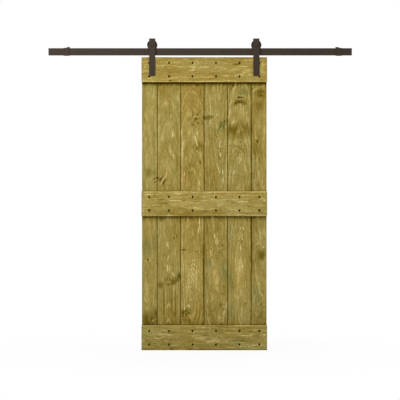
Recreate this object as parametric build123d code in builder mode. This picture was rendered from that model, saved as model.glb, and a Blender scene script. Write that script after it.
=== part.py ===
"""Sliding barn door: a planked leaf on two strap hangers, with its flat wall track and end stops.

Frame: the origin lies on the wall plane, at the middle of the track. +X runs along the track to the
right, -Y points into the room and +Z is up. A name that ends in _out is a distance from the wall.
"""

import os
from math import radians, sqrt, tan

from build123d import *

os.makedirs("parts", exist_ok=True)

# Leaf: six planks behind three battens
door_width = 914.4
door_height = 2133.6
door_rest_offset = 30.0
plank_thickness = 19.0
side_plank_cover = 112.0
wide_plank_count = 4
plank_gap = 2.6
plank_edge_ease = 1.2
tongue_thickness = 6.0
tongue_length = 8.0
tongue_side_clearance = 0.15
tongue_end_clearance = 1.0
batten_height = 182.0
batten_thickness = 19.0
batten_overhang = 3.2
batten_edge_round = 2.5

# Wood screws: two to a plank in every batten
wood_screw_head_radius = 5.0
wood_screw_shank_radius = 2.2
wood_screw_length = 32.0
wood_screw_point = 5.0
wood_screw_tip_radius = 0.3
wood_screw_recess = 0.4
pilot_end_clearance = 1.0
wood_screw_row_spacing = 98.0
wood_screw_end_inset = 56.0
wood_screw_clearance = 0.1
countersink_angle = 90.0

# Track: flat bar on tube standoffs
rail_length = 2211.0
rail_height = 53.0
rail_thickness = 6.0
rail_edge_round = 0.8
rail_corner_round = 2.0
rail_door_gap = 13.0
standoff_count = 5
standoff_end_inset = 292.7
standoff_length = 38.0
standoff_radius = 9.5
standoff_end_ease = 0.8

# Wall screws: flush heads in the bar, threads beyond the wall plane
wall_screw_head_radius = 8.0
wall_screw_shank_radius = 3.6
wall_screw_thread_radius = 4.0
wall_screw_thread_length = 50.0
wall_screw_point = 8.0
wall_screw_tip_radius = 0.5
wall_screw_recess = 0.2
wall_screw_hole_clearance = 0.4
wall_screw_seat_clearance = 0.1
wall_screw_socket_flats = 5.0
wall_screw_socket_depth = 2.6

# End stops: collar on the bar, lug and rubber pad on top of it
left_stop_inset = 111.5
right_stop_inset = 74.5
collar_length = 42.0
collar_front_wall = 5.0
collar_back_wall = 9.0
collar_edge_wall = 2.0
collar_slip = 0.2
collar_corner_round = 1.5
lug_length = 14.0
lug_setback = 5.0
lug_rise = 7.7
lug_depth = 22.0
lug_corner_round = 1.5
pad_thickness = 8.0
pad_edge_round = 1.0
pad_stem_radius = 1.6
pad_stem_length = 8.0
pad_stem_clearance = 0.1
set_screw_radius = 3.0
set_screw_length = 11.0
set_screw_spacing = 28.0
set_screw_clearance = 0.05
set_screw_socket_flats = 3.0
set_screw_socket_depth = 3.5

# Hangers: bent straps on the top batten
hanger_inset = 78.2
strap_width = 45.0
strap_thickness = 5.0
strap_gap = 28.0
strap_reach = 137.0
strap_crown_gap = 5.5
strap_bend_radius = 8.0
strap_foot_round = 4.0
strap_ear_round = 20.0
strap_ear_drop = 22.5
strap_edge_ease = 0.8
strap_bolt_drops = (24.0, 114.0)
strap_bolt_radius = 4.0
strap_bolt_head_flats = 13.0
strap_bolt_head_height = 5.3
strap_bolt_end = 2.0
strap_bolt_clearance = 0.3
strap_washer_radius = 12.0
strap_washer_thickness = 2.0
strap_nut_height = 6.5
hex_edge_ease = 0.6
thread_clearance = 0.05

# Rollers: grooved wheels on sealed bearings
wheel_flange_radius = 37.5
wheel_groove_radius = 22.5
wheel_width = 22.0
wheel_groove_clearance = 0.7
wheel_groove_draft = 7.0
wheel_rail_clearance = 0.3
wheel_flange_ease = 1.2
wheel_rim_depth = 6.0
wheel_web_inset = 3.0
wheel_hub_inset = 1.5
wheel_hub_wall = 4.5
bearing_outer_radius = 16.0
bearing_inner_radius = 9.0
bearing_width = 10.0
bearing_seat_clearance = 0.02
bearing_running_clearance = 0.1
bearing_seal_radius = 13.2
bearing_seal_recess = 0.4
bearing_edge_ease = 0.5
bearing_lip = 2.5
retaining_ring_thickness = 1.2
retaining_ring_width = 3.0
retaining_ring_bite = 0.7
retaining_ring_clearance = 0.1
retaining_ring_opening = 7.0
axle_radius = 6.0
axle_head_flats = 18.0
axle_head_height = 7.5
axle_nut_height = 10.0
axle_end = 2.0
axle_hole_clearance = 0.25
bush_bore_clearance = 0.1

cut_overrun = 1.0

# Distances from the wall, back to front
rail_back_out = standoff_length
rail_front_out = rail_back_out + rail_thickness
rail_mid_out = (rail_back_out + rail_front_out) / 2
batten_front_out = rail_mid_out + strap_gap / 2
batten_back_out = batten_front_out - batten_thickness
plank_front_out = batten_back_out
plank_back_out = plank_front_out - plank_thickness
plank_mid_out = (plank_front_out + plank_back_out) / 2
strap_front_out = batten_front_out + strap_thickness
ear_front_out = rail_mid_out - strap_gap / 2
ear_back_out = ear_front_out - strap_thickness

# Heights, with zero at the middle of the bar
rail_top_z = rail_height / 2
axle_z = rail_top_z + wheel_rail_clearance + wheel_groove_radius
strap_top_z = axle_z + wheel_flange_radius + strap_crown_gap + strap_thickness
door_top_z = -rail_height / 2 - rail_door_gap
door_bottom_z = door_top_z - door_height
door_mid_z = (door_top_z + door_bottom_z) / 2

# Places along the track
rail_half_length = rail_length / 2
standoff_spacing = (rail_length - 2 * standoff_end_inset) / (standoff_count - 1)
standoff_xs = [(number - (standoff_count - 1) / 2) * standoff_spacing for number in range(standoff_count)]
leaf_half_width = door_width / 2 - batten_overhang
plank_cover = 2 * (leaf_half_width - side_plank_cover) / wide_plank_count
joint_xs = [(number - wide_plank_count / 2) * plank_cover for number in range(wide_plank_count + 1)]
plank_left_xs = [-leaf_half_width] + [joint_x + plank_gap / 2 for joint_x in joint_xs]
plank_right_xs = [joint_x - plank_gap / 2 for joint_x in joint_xs] + [leaf_half_width]
end_screw_x = door_width / 2 - wood_screw_end_inset
wide_plank_xs = [joint_x + plank_cover / 2 for joint_x in joint_xs[:-1]]
screw_xs = [-end_screw_x] + wide_plank_xs + [end_screw_x]
hanger_x = door_width / 2 - hanger_inset
strap_bolt_zs = [door_top_z - drop for drop in strap_bolt_drops]
batten_zs = {
    "top": door_top_z - batten_height / 2,
    "middle": door_mid_z,
    "bottom": door_bottom_z + batten_height / 2,
}
screw_row_offsets = (-wood_screw_row_spacing / 2, wood_screw_row_spacing / 2)
strap_bolt_hole_radius = strap_bolt_radius + strap_bolt_clearance
wood_screw_hole_radius = wood_screw_shank_radius + wood_screw_clearance
countersink_slope = tan(radians(countersink_angle / 2))
from_front = (Align.CENTER, Align.CENTER, Align.MAX)

# Planks, tongue to the right and groove to the left
pilot_depth = wood_screw_recess + wood_screw_length - batten_thickness + pilot_end_clearance
groove_depth = tongue_length - plank_gap + tongue_end_clearance
for number, (left_x, right_x) in enumerate(zip(plank_left_xs, plank_right_xs), start=1):
    node = f"plank_{number}"
    first_plank = number == 1
    last_plank = number == len(plank_left_xs)
    with BuildPart() as plank:
        with BuildSketch(Plane.XY.offset(door_bottom_z)):
            with Locations((door_rest_offset + (left_x + right_x) / 2, -plank_mid_out)):
                Rectangle(right_x - left_x, plank_thickness)
            chamfer(vertices(), plank_edge_ease)
            if not first_plank:
                with Locations((door_rest_offset + left_x, -plank_mid_out)):
                    Rectangle(
                        groove_depth,
                        tongue_thickness + 2 * tongue_side_clearance,
                        align=(Align.MIN, Align.CENTER),
                        mode=Mode.SUBTRACT,
                    )
            if not last_plank:
                with Locations((door_rest_offset + right_x, -plank_mid_out)):
                    Rectangle(tongue_length, tongue_thickness, align=(Align.MIN, Align.CENTER))
        extrude(amount=door_height)
        with BuildSketch(Plane.XZ.offset(plank_front_out)):
            for batten_z in batten_zs.values():
                for row in screw_row_offsets:
                    with Locations((door_rest_offset + screw_xs[number - 1], batten_z + row)):
                        Circle(wood_screw_hole_radius)
        extrude(amount=-pilot_depth, mode=Mode.SUBTRACT)
        if first_plank or last_plank:
            bolt_x = door_rest_offset + (-hanger_x if first_plank else hanger_x)
            with BuildSketch(Plane.XZ.offset(plank_front_out)):
                with Locations(*[(bolt_x, bolt_z) for bolt_z in strap_bolt_zs]):
                    Circle(strap_bolt_hole_radius)
            extrude(amount=-plank_thickness, mode=Mode.SUBTRACT)
    plank.part.label = node
    export_step(plank.part, f"parts/{node}.step")

# Battens and the screws that hold the planks to them
wood_screw_head_height = (wood_screw_head_radius - wood_screw_shank_radius) / countersink_slope
countersink_radius = wood_screw_head_radius + wood_screw_clearance + wood_screw_recess * countersink_slope
for level, batten_z in batten_zs.items():
    screw_points = [(door_rest_offset + x, batten_z + row) for x in screw_xs for row in screw_row_offsets]
    node = f"{level}_batten"
    with BuildPart(Plane.XZ.offset(batten_front_out)) as batten:
        with Locations((door_rest_offset, batten_z)):
            Box(door_width, batten_height, batten_thickness, align=from_front)
        fillet(batten.faces().sort_by(Axis.Y)[0].edges(), batten_edge_round)
        with Locations(*screw_points):
            CounterSinkHole(
                wood_screw_hole_radius,
                countersink_radius,
                depth=batten_thickness,
                counter_sink_angle=countersink_angle,
            )
        if level == "top":
            bolt_xs = (door_rest_offset - hanger_x, door_rest_offset + hanger_x)
            with Locations(*[(bolt_x, bolt_z) for bolt_x in bolt_xs for bolt_z in strap_bolt_zs]):
                Hole(strap_bolt_hole_radius, depth=batten_thickness)
    batten.part.label = node
    export_step(batten.part, f"parts/{node}.step")

    node = f"{level}_batten_screws"
    with BuildPart(Plane.XZ.offset(batten_front_out - wood_screw_recess)) as batten_screws:
        shank_length = wood_screw_length - wood_screw_point
        with Locations(*screw_points):
            Cylinder(wood_screw_shank_radius, shank_length, align=from_front)
            Cone(
                wood_screw_shank_radius,
                wood_screw_head_radius,
                wood_screw_head_height,
                align=from_front,
            )
        with Locations(*[(x, z, -shank_length) for x, z in screw_points]):
            Cone(wood_screw_tip_radius, wood_screw_shank_radius, wood_screw_point, align=from_front)
    batten_screws.part.label = node
    export_step(batten_screws.part, f"parts/{node}.step")

# Track bar
wall_screw_hole_radius = wall_screw_thread_radius + wall_screw_hole_clearance
with BuildPart(Plane.XZ.offset(rail_front_out)) as rail:
    Box(rail_length, rail_height, rail_thickness, align=from_front)
    fillet(rail.edges().filter_by(Axis.Y), rail_corner_round)
    fillet(rail.edges().filter_by(Axis.X), rail_edge_round)
    with Locations(*[(x, 0) for x in standoff_xs]):
        CounterSinkHole(
            wall_screw_hole_radius,
            wall_screw_head_radius + wall_screw_seat_clearance + wall_screw_recess * countersink_slope,
            depth=rail_thickness,
            counter_sink_angle=countersink_angle,
        )
rail.part.label = "rail"
export_step(rail.part, "parts/rail.step")

# Standoffs
for number, standoff_x in enumerate(standoff_xs, start=1):
    node = f"standoff_{number}"
    with BuildPart() as standoff:
        with BuildSketch(Plane.XZ):
            with Locations((standoff_x, 0)):
                Circle(standoff_radius)
                Circle(wall_screw_hole_radius, mode=Mode.SUBTRACT)
        extrude(amount=standoff_length)
        chamfer(standoff.edges().filter_by(GeomType.CIRCLE).group_by(SortBy.RADIUS)[-1], standoff_end_ease)
    standoff.part.label = node
    export_step(standoff.part, f"parts/{node}.step")

# Wall screws
wall_screw_grip = rail_front_out - wall_screw_recess
wall_screw_head_height = (wall_screw_head_radius - wall_screw_shank_radius) / countersink_slope
with BuildPart(Plane.XZ.offset(wall_screw_grip)) as wall_screws:
    with Locations(*[(x, 0) for x in standoff_xs]):
        Cylinder(wall_screw_shank_radius, wall_screw_grip, align=from_front)
        Cone(wall_screw_shank_radius, wall_screw_head_radius, wall_screw_head_height, align=from_front)
    with Locations(*[(x, 0, -wall_screw_grip) for x in standoff_xs]):
        Cylinder(wall_screw_thread_radius, wall_screw_thread_length, align=from_front)
    with Locations(*[(x, 0, -wall_screw_grip - wall_screw_thread_length) for x in standoff_xs]):
        Cone(wall_screw_tip_radius, wall_screw_thread_radius, wall_screw_point, align=from_front)
    with BuildSketch(Plane.XZ.offset(wall_screw_grip)):
        with Locations(*[(x, 0) for x in standoff_xs]):
            RegularPolygon(wall_screw_socket_flats / 2, 6, major_radius=False)
    extrude(amount=-wall_screw_socket_depth, mode=Mode.SUBTRACT)
wall_screws.part.label = "wall_screws"
export_step(wall_screws.part, "parts/wall_screws.step")

# End stops
slot_depth = rail_thickness + 2 * collar_slip
slot_height = rail_height + 2 * collar_slip
collar_front_out = rail_mid_out + slot_depth / 2 + collar_front_wall
collar_back_out = rail_mid_out - slot_depth / 2 - collar_back_wall
collar_top_z = slot_height / 2 + collar_edge_wall
lug_height = rail_top_z + lug_rise - collar_top_z
set_screw_zs = (-set_screw_spacing / 2, set_screw_spacing / 2)
for side, outward, stop_inset in (("left", -1, left_stop_inset), ("right", 1, right_stop_inset)):
    collar_face_x = outward * (rail_half_length - stop_inset - collar_length)
    lug_face_x = collar_face_x + outward * lug_setback
    set_screw_x = collar_face_x + outward * collar_length / 2
    set_screw_points = [(set_screw_x, z) for z in set_screw_zs]

    node = f"{side}_stop_collar"
    with BuildPart() as collar:
        with BuildSketch(Plane.YZ.offset(collar_face_x)):
            with Locations((-(collar_front_out + collar_back_out) / 2, 0)):
                Rectangle(collar_front_out - collar_back_out, 2 * collar_top_z)
            fillet(vertices(), collar_corner_round)
            with Locations((-rail_mid_out, 0)):
                Rectangle(slot_depth, slot_height, mode=Mode.SUBTRACT)
        extrude(amount=outward * collar_length)
        with BuildSketch(Plane.YZ.offset(lug_face_x)):
            with Locations((-rail_mid_out, collar_top_z)):
                Rectangle(lug_depth, lug_height, align=(Align.CENTER, Align.MIN))
            fillet(vertices().group_by(Axis.Y)[-1], lug_corner_round)
        extrude(amount=outward * lug_length)
        with BuildSketch(Plane.YZ.offset(lug_face_x)):
            with Locations((-rail_mid_out, collar_top_z + lug_height / 2)):
                Circle(pad_stem_radius + pad_stem_clearance)
        extrude(amount=outward * (pad_stem_length + cut_overrun), mode=Mode.SUBTRACT)
        with BuildSketch(Plane.XZ.offset(collar_back_out)):
            with Locations(*set_screw_points):
                Circle(set_screw_radius + set_screw_clearance)
        extrude(amount=collar_back_wall + collar_slip / 2, mode=Mode.SUBTRACT)
    collar.part.label = node
    export_step(collar.part, f"parts/{node}.step")

    node = f"{side}_stop_pad"
    with BuildPart() as pad:
        with BuildSketch(Plane.YZ.offset(lug_face_x)):
            with Locations((-rail_mid_out, collar_top_z)):
                Rectangle(lug_depth, lug_height, align=(Align.CENTER, Align.MIN))
            fillet(vertices().group_by(Axis.Y)[-1], lug_corner_round)
        extrude(amount=-outward * pad_thickness)
        fillet(pad.faces().sort_by(Axis.X)[0 if outward > 0 else -1].edges(), pad_edge_round)
        with BuildSketch(Plane.YZ.offset(lug_face_x)):
            with Locations((-rail_mid_out, collar_top_z + lug_height / 2)):
                Circle(pad_stem_radius)
        extrude(amount=outward * pad_stem_length)
    pad.part.label = node
    export_step(pad.part, f"parts/{node}.step")

    node = f"{side}_stop_screws"
    with BuildPart(Plane.XZ.offset(rail_back_out)) as set_screws:
        with Locations(*set_screw_points):
            Cylinder(set_screw_radius, set_screw_length, align=from_front)
        with BuildSketch(Plane.XZ.offset(rail_back_out - set_screw_length)):
            with Locations(*set_screw_points):
                RegularPolygon(set_screw_socket_flats / 2, 6, major_radius=False)
        extrude(amount=set_screw_socket_depth, mode=Mode.SUBTRACT)
    set_screws.part.label = node
    export_step(set_screws.part, f"parts/{node}.step")

# Hangers and rollers
groove_bottom_half = rail_thickness / 2 + wheel_groove_clearance
groove_mouth_half = groove_bottom_half + (wheel_flange_radius - wheel_groove_radius) * tan(
    radians(wheel_groove_draft)
)
wheel_half = wheel_width / 2
web_half = wheel_half - wheel_web_inset
hub_half = wheel_half - wheel_hub_inset
bearing_half = bearing_width / 2
bearing_seat_radius = bearing_outer_radius + bearing_seat_clearance
bearing_lip_radius = bearing_outer_radius - bearing_lip
hub_radius = bearing_outer_radius + wheel_hub_wall
rim_radius = wheel_flange_radius - wheel_rim_depth
ring_groove_radius = bearing_outer_radius + retaining_ring_bite
ring_groove_end = bearing_half + retaining_ring_thickness + retaining_ring_clearance
bush_length = strap_gap / 2 - bearing_half
door_thickness = batten_front_out - plank_back_out
strap_bolt_grip = strap_thickness + door_thickness + strap_washer_thickness
strap_bolt_length = strap_bolt_grip + strap_nut_height + strap_bolt_end
washer_back_out = plank_back_out - strap_washer_thickness
axle_length = strap_front_out - ear_back_out + axle_nut_height + axle_end
for side, roller_x in (("left", door_rest_offset - hanger_x), ("right", door_rest_offset + hanger_x)):
    strap_bolt_points = [(roller_x, z) for z in strap_bolt_zs]
    axle_axis = Axis((roller_x, -rail_mid_out, axle_z), (0, 1, 0))
    roller_plane = Plane(axle_axis.position, x_dir=(0, -1, 0), z_dir=(-1, 0, 0))

    node = f"{side}_hanger_strap"
    with BuildPart() as strap:
        with BuildSketch(Plane.YZ.offset(roller_x - strap_width / 2)):
            with BuildLine():
                FilletPolyline(
                    (-strap_front_out, door_top_z - strap_reach),
                    (-strap_front_out, strap_top_z),
                    (-ear_back_out, strap_top_z),
                    (-ear_back_out, axle_z - strap_ear_drop),
                    radius=strap_bend_radius + strap_thickness,
                )
                offset(amount=strap_thickness, side=Side.RIGHT)
            make_face()
        extrude(amount=strap_width)
        corner_edges = strap.edges().filter_by(Axis.Y).group_by(Axis.Z)
        fillet(corner_edges[0], strap_foot_round)
        fillet(corner_edges[1], strap_ear_round)
        chamfer(strap.faces().filter_by(Axis.X).edges(), strap_edge_ease)
        with BuildSketch(Plane.XZ.offset(strap_front_out)):
            with Locations((roller_x, axle_z)):
                Circle(axle_radius + axle_hole_clearance)
        extrude(amount=-(strap_front_out - ear_back_out), mode=Mode.SUBTRACT)
        with BuildSketch(Plane.XZ.offset(strap_front_out)):
            with Locations(*strap_bolt_points):
                Circle(strap_bolt_hole_radius)
        extrude(amount=-strap_thickness, mode=Mode.SUBTRACT)
    strap.part.label = node
    export_step(strap.part, f"parts/{node}.step")

    node = f"{side}_strap_bolts"
    with BuildPart() as strap_bolts:
        with BuildSketch(Plane.XZ.offset(strap_front_out)):
            with Locations(*strap_bolt_points):
                RegularPolygon(strap_bolt_head_flats / 2, 6, major_radius=False)
        extrude(amount=strap_bolt_head_height)
        chamfer(strap_bolts.faces().group_by(Axis.Y)[0].edges(), hex_edge_ease)
        with BuildSketch(Plane.XZ.offset(strap_front_out)):
            with Locations(*strap_bolt_points):
                Circle(strap_bolt_radius)
        extrude(amount=-strap_bolt_length)
    strap_bolts.part.label = node
    export_step(strap_bolts.part, f"parts/{node}.step")

    node = f"{side}_strap_washers"
    with BuildPart() as strap_washers:
        with BuildSketch(Plane.XZ.offset(plank_back_out)):
            with Locations(*strap_bolt_points):
                Circle(strap_washer_radius)
                Circle(strap_bolt_hole_radius, mode=Mode.SUBTRACT)
        extrude(amount=-strap_washer_thickness)
    strap_washers.part.label = node
    export_step(strap_washers.part, f"parts/{node}.step")

    node = f"{side}_strap_nuts"
    with BuildPart() as strap_nuts:
        with BuildSketch(Plane.XZ.offset(washer_back_out)):
            with Locations(*strap_bolt_points):
                RegularPolygon(strap_bolt_head_flats / 2, 6, major_radius=False)
        extrude(amount=-strap_nut_height)
        chamfer(strap_nuts.faces().group_by(Axis.Y)[-1].edges(), hex_edge_ease)
        with BuildSketch(Plane.XZ.offset(washer_back_out)):
            with Locations(*strap_bolt_points):
                Circle(strap_bolt_radius + thread_clearance)
        extrude(amount=-strap_nut_height, mode=Mode.SUBTRACT)
    strap_nuts.part.label = node
    export_step(strap_nuts.part, f"parts/{node}.step")

    node = f"{side}_axle_bolt"
    with BuildPart() as axle_bolt:
        with BuildSketch(Plane.XZ.offset(strap_front_out)):
            with Locations((roller_x, axle_z)):
                RegularPolygon(axle_head_flats / 2, 6, major_radius=False)
        extrude(amount=axle_head_height)
        chamfer(axle_bolt.faces().sort_by(Axis.Y)[0].edges(), hex_edge_ease)
        with BuildSketch(Plane.XZ.offset(strap_front_out)):
            with Locations((roller_x, axle_z)):
                Circle(axle_radius)
        extrude(amount=-axle_length)
    axle_bolt.part.label = node
    export_step(axle_bolt.part, f"parts/{node}.step")

    node = f"{side}_axle_nut"
    with BuildPart() as axle_nut:
        with BuildSketch(Plane.XZ.offset(ear_back_out)):
            with Locations((roller_x, axle_z)):
                RegularPolygon(axle_head_flats / 2, 6, major_radius=False)
        extrude(amount=-axle_nut_height)
        chamfer(axle_nut.faces().sort_by(Axis.Y)[-1].edges(), hex_edge_ease)
        with BuildSketch(Plane.XZ.offset(ear_back_out)):
            with Locations((roller_x, axle_z)):
                Circle(axle_radius + thread_clearance)
        extrude(amount=-axle_nut_height, mode=Mode.SUBTRACT)
    axle_nut.part.label = node
    export_step(axle_nut.part, f"parts/{node}.step")

    for place, bush_front_out in (("front", batten_front_out), ("rear", rail_mid_out - bearing_half)):
        node = f"{side}_{place}_axle_bush"
        with BuildPart() as bush:
            with BuildSketch(Plane.XZ.offset(bush_front_out)):
                with Locations((roller_x, axle_z)):
                    Circle(bearing_inner_radius)
                    Circle(axle_radius + bush_bore_clearance, mode=Mode.SUBTRACT)
            extrude(amount=-bush_length)
        bush.part.label = node
        export_step(bush.part, f"parts/{node}.step")

    node = f"{side}_bearing_inner_ring"
    with BuildPart() as inner_ring:
        with BuildSketch(Plane.XZ.offset(rail_mid_out + bearing_half)):
            with Locations((roller_x, axle_z)):
                Circle(bearing_inner_radius)
                Circle(axle_radius + bearing_seat_clearance, mode=Mode.SUBTRACT)
        extrude(amount=-bearing_width)
    inner_ring.part.label = node
    export_step(inner_ring.part, f"parts/{node}.step")

    node = f"{side}_bearing_outer_ring"
    seal_half = bearing_half - bearing_seal_recess
    with BuildPart() as outer_ring:
        with BuildSketch(roller_plane):
            with BuildLine():
                Polyline(
                    (-bearing_half, bearing_seal_radius),
                    (-bearing_half, bearing_outer_radius),
                    (bearing_half, bearing_outer_radius),
                    (bearing_half, bearing_seal_radius),
                    (seal_half, bearing_seal_radius),
                    (seal_half, bearing_inner_radius + bearing_running_clearance),
                    (-seal_half, bearing_inner_radius + bearing_running_clearance),
                    (-seal_half, bearing_seal_radius),
                    close=True,
                )
            make_face()
            chamfer(vertices().group_by(Axis.Y)[-1], bearing_edge_ease)
        revolve(axis=axle_axis)
    outer_ring.part.label = node
    export_step(outer_ring.part, f"parts/{node}.step")

    node = f"{side}_wheel"
    with BuildPart() as wheel:
        with BuildSketch(roller_plane):
            with BuildLine():
                Polyline(
                    (-hub_half, bearing_seat_radius),
                    (-hub_half, hub_radius),
                    (-web_half, hub_radius),
                    (-web_half, rim_radius),
                    (-wheel_half, rim_radius),
                    (-wheel_half, wheel_flange_radius),
                    (-groove_mouth_half, wheel_flange_radius),
                    (-groove_bottom_half, wheel_groove_radius),
                    (groove_bottom_half, wheel_groove_radius),
                    (groove_mouth_half, wheel_flange_radius),
                    (wheel_half, wheel_flange_radius),
                    (wheel_half, rim_radius),
                    (web_half, rim_radius),
                    (web_half, hub_radius),
                    (hub_half, hub_radius),
                    (hub_half, bearing_lip_radius),
                    (bearing_half, bearing_lip_radius),
                    (bearing_half, bearing_seat_radius),
                    (-bearing_half, bearing_seat_radius),
                    (-bearing_half, ring_groove_radius),
                    (-ring_groove_end, ring_groove_radius),
                    (-ring_groove_end, bearing_seat_radius),
                    close=True,
                )
            make_face()
            chamfer(vertices().group_by(Axis.Y)[-1], wheel_flange_ease)
        revolve(axis=axle_axis)
    wheel.part.label = node
    export_step(wheel.part, f"parts/{node}.step")

    node = f"{side}_retaining_ring"
    with BuildPart() as retaining_ring:
        with BuildSketch(Plane.XZ.offset(rail_mid_out - bearing_half)):
            with Locations((roller_x, axle_z)):
                Circle(ring_groove_radius - retaining_ring_clearance)
                Circle(bearing_outer_radius - retaining_ring_width, mode=Mode.SUBTRACT)
                Rectangle(
                    retaining_ring_opening,
                    ring_groove_radius,
                    align=(Align.CENTER, Align.MAX),
                    mode=Mode.SUBTRACT,
                )
        extrude(amount=-retaining_ring_thickness)
    retaining_ring.part.label = node
    export_step(retaining_ring.part, f"parts/{node}.step")

# How far the leaf rolls each way before a wheel's rim meets a pad
pad_top_z = collar_top_z + lug_height
rim_reach = sqrt(wheel_flange_radius**2 - (axle_z - pad_top_z) ** 2)
stop_length = collar_length - lug_setback + pad_thickness
roll_left = rail_half_length - left_stop_inset - stop_length - rim_reach + door_rest_offset - hanger_x
roll_right = rail_half_length - right_stop_inset - stop_length - rim_reach - door_rest_offset - hanger_x
print(f"axle height {axle_z:.3f}, roll left {roll_left:.3f}, roll right {roll_right:.3f}")
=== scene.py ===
"""Sliding barn door: the looks of a stained pine leaf that hangs from a dark bronze track.

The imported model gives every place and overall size. Lengths are in metres, and a field whose note says
millimetres is multiplied by MM where it is used. +X runs along the track, -Y faces the room, +Z is up.
"""

import logging
import math
from dataclasses import dataclass
from enum import Enum, StrEnum
from typing import Any, Iterable, Mapping, Sequence

import bmesh
import bpy
from mathutils import Matrix, Vector

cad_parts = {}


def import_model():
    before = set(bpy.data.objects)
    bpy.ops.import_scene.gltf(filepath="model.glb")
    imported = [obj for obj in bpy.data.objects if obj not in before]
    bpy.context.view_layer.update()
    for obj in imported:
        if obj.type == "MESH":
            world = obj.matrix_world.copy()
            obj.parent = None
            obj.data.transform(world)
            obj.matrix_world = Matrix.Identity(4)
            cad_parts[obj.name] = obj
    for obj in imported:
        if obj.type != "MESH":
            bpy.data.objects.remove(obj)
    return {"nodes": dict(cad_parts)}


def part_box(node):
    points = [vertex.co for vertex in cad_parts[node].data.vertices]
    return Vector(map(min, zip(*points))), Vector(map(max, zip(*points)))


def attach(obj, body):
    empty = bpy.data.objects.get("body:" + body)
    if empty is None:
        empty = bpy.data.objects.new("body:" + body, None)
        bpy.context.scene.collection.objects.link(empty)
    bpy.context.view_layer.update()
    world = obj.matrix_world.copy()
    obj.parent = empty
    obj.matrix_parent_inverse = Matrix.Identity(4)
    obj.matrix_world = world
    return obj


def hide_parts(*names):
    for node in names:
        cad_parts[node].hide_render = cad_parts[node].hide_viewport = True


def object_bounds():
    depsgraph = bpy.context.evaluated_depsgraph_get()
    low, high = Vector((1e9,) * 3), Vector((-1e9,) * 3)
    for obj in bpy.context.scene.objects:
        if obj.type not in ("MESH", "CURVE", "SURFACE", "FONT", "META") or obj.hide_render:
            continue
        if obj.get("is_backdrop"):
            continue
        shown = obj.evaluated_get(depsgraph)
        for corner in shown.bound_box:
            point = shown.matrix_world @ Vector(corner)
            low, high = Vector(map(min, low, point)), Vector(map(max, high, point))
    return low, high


MM = 0.001
MERGE_DISTANCE = 0.001 * MM
log = logging.getLogger("barn_door")

Colour = tuple[float, float, float, float]
Pair = tuple[float, float]
Triple = tuple[float, float, float]
Box = tuple[Vector, Vector]
Socket = bpy.types.NodeSocket

# Kinds of node that come up all over
MATH = "ShaderNodeMath"
VECTOR_MATH = "ShaderNodeVectorMath"
MAP_RANGE = "ShaderNodeMapRange"
NOISE = "ShaderNodeTexNoise"
RAMP = "ShaderNodeValToRGB"
SPLIT = "ShaderNodeSeparateXYZ"

# A colour Mix node's sockets, by number, because other types of socket on it have the same names
MIX_A, MIX_B, MIX_RESULT = 6, 7, 2

# Middle of a noise or a ramp, and the ranges that most of a noise's values and nearly all of them lie in
NEUTRAL = 0.5
MOST = (0.36, 0.64)
NEARLY_ALL = (0.3, 0.7)


def linear(code: str) -> Colour:
    """Turn an sRGB hex colour into linear RGBA.

    Args:
        code: The colour as "#rrggbb".

    Returns:
        Red, green, blue and alpha for a colour socket.
    """
    parts = [int(code[start:start + 2], 16) / 255 for start in (1, 3, 5)]
    red, green, blue = [
        part / 12.92 if part <= 0.04045 else ((part + 0.055) / 1.055) ** 2.4 for part in parts
    ]
    return red, green, blue, 1.0


def grey(value: float) -> Colour:
    """Give a neutral linear colour of that value."""
    return value, value, value, 1.0


def between(value: Any, found: Pair, wanted: Pair = (0.0, 1.0)) -> dict[str, Any]:
    """Name the inputs that carry a value from the range it is found in to the one that is wanted."""
    ends = {"From Min": found[0], "From Max": found[1], "To Min": wanted[0], "To Max": wanted[1]}
    return {"Value": value, **ends}


class Graph:
    """A node tree with one way to add to it."""

    def __init__(self, tree: bpy.types.NodeTree) -> None:
        """Take over a tree and empty it."""
        self.tree = tree
        tree.nodes.clear()

    def add(
        self,
        kind: str,
        inputs: Mapping[Any, Any] | Sequence[Any] = (),
        out: int | str = 0,
        stops: Sequence[tuple[float, Colour]] = (),
        **settings: Any,
    ) -> Any:
        """Add a node with its settings, then set or link its inputs.

        Args:
            kind: The node's type name.
            inputs: Values or output sockets, in order or by input name or number.
            out: Which output the caller wants.
            stops: Place and colour of each stop, on a node that has a colour ramp.
            settings: The node's own properties.

        Returns:
            The wanted output socket, or None where the node has no output.
        """
        made = self.tree.nodes.new(kind)
        for name, value in settings.items():
            setattr(made, name, value)
        for key, value in inputs.items() if isinstance(inputs, Mapping) else enumerate(inputs):
            if isinstance(value, Socket):
                self.tree.links.new(value, made.inputs[key])
            else:
                made.inputs[key].default_value = value
        for number, (place, colour) in enumerate(stops):
            ramp = made.color_ramp.elements
            stop = ramp[number] if number < len(ramp) else ramp.new(place)
            stop.position = place
            stop.color = colour
        return made.outputs[out] if len(made.outputs) else None


def new_material(name: str) -> tuple[bpy.types.Material, Graph]:
    """Make an empty material.

    Args:
        name: The material's name.

    Returns:
        The material and its graph.
    """
    made = bpy.data.materials.new(name)
    made.use_nodes = True
    return made, Graph(made.node_tree)


def put(name: str, data: bpy.types.ID) -> bpy.types.Object:
    """Put a new object in the scene.

    Args:
        name: Its name.
        data: Its mesh, lamp or camera.

    Returns:
        The object.
    """
    made = bpy.data.objects.new(name, data)
    bpy.context.scene.collection.objects.link(made)
    return made


def dress(node: bpy.types.Object, material: bpy.types.Material) -> None:
    """Give a carried-over solid its finish in every material slot.

    Args:
        node: The solid.
        material: Its finish.
    """
    slots = node.data.materials
    if not slots:
        slots.append(material)
    for number in range(len(slots)):
        slots[number] = material
    log.info("%s: dressed in %s", node.name, material.name)


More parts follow.
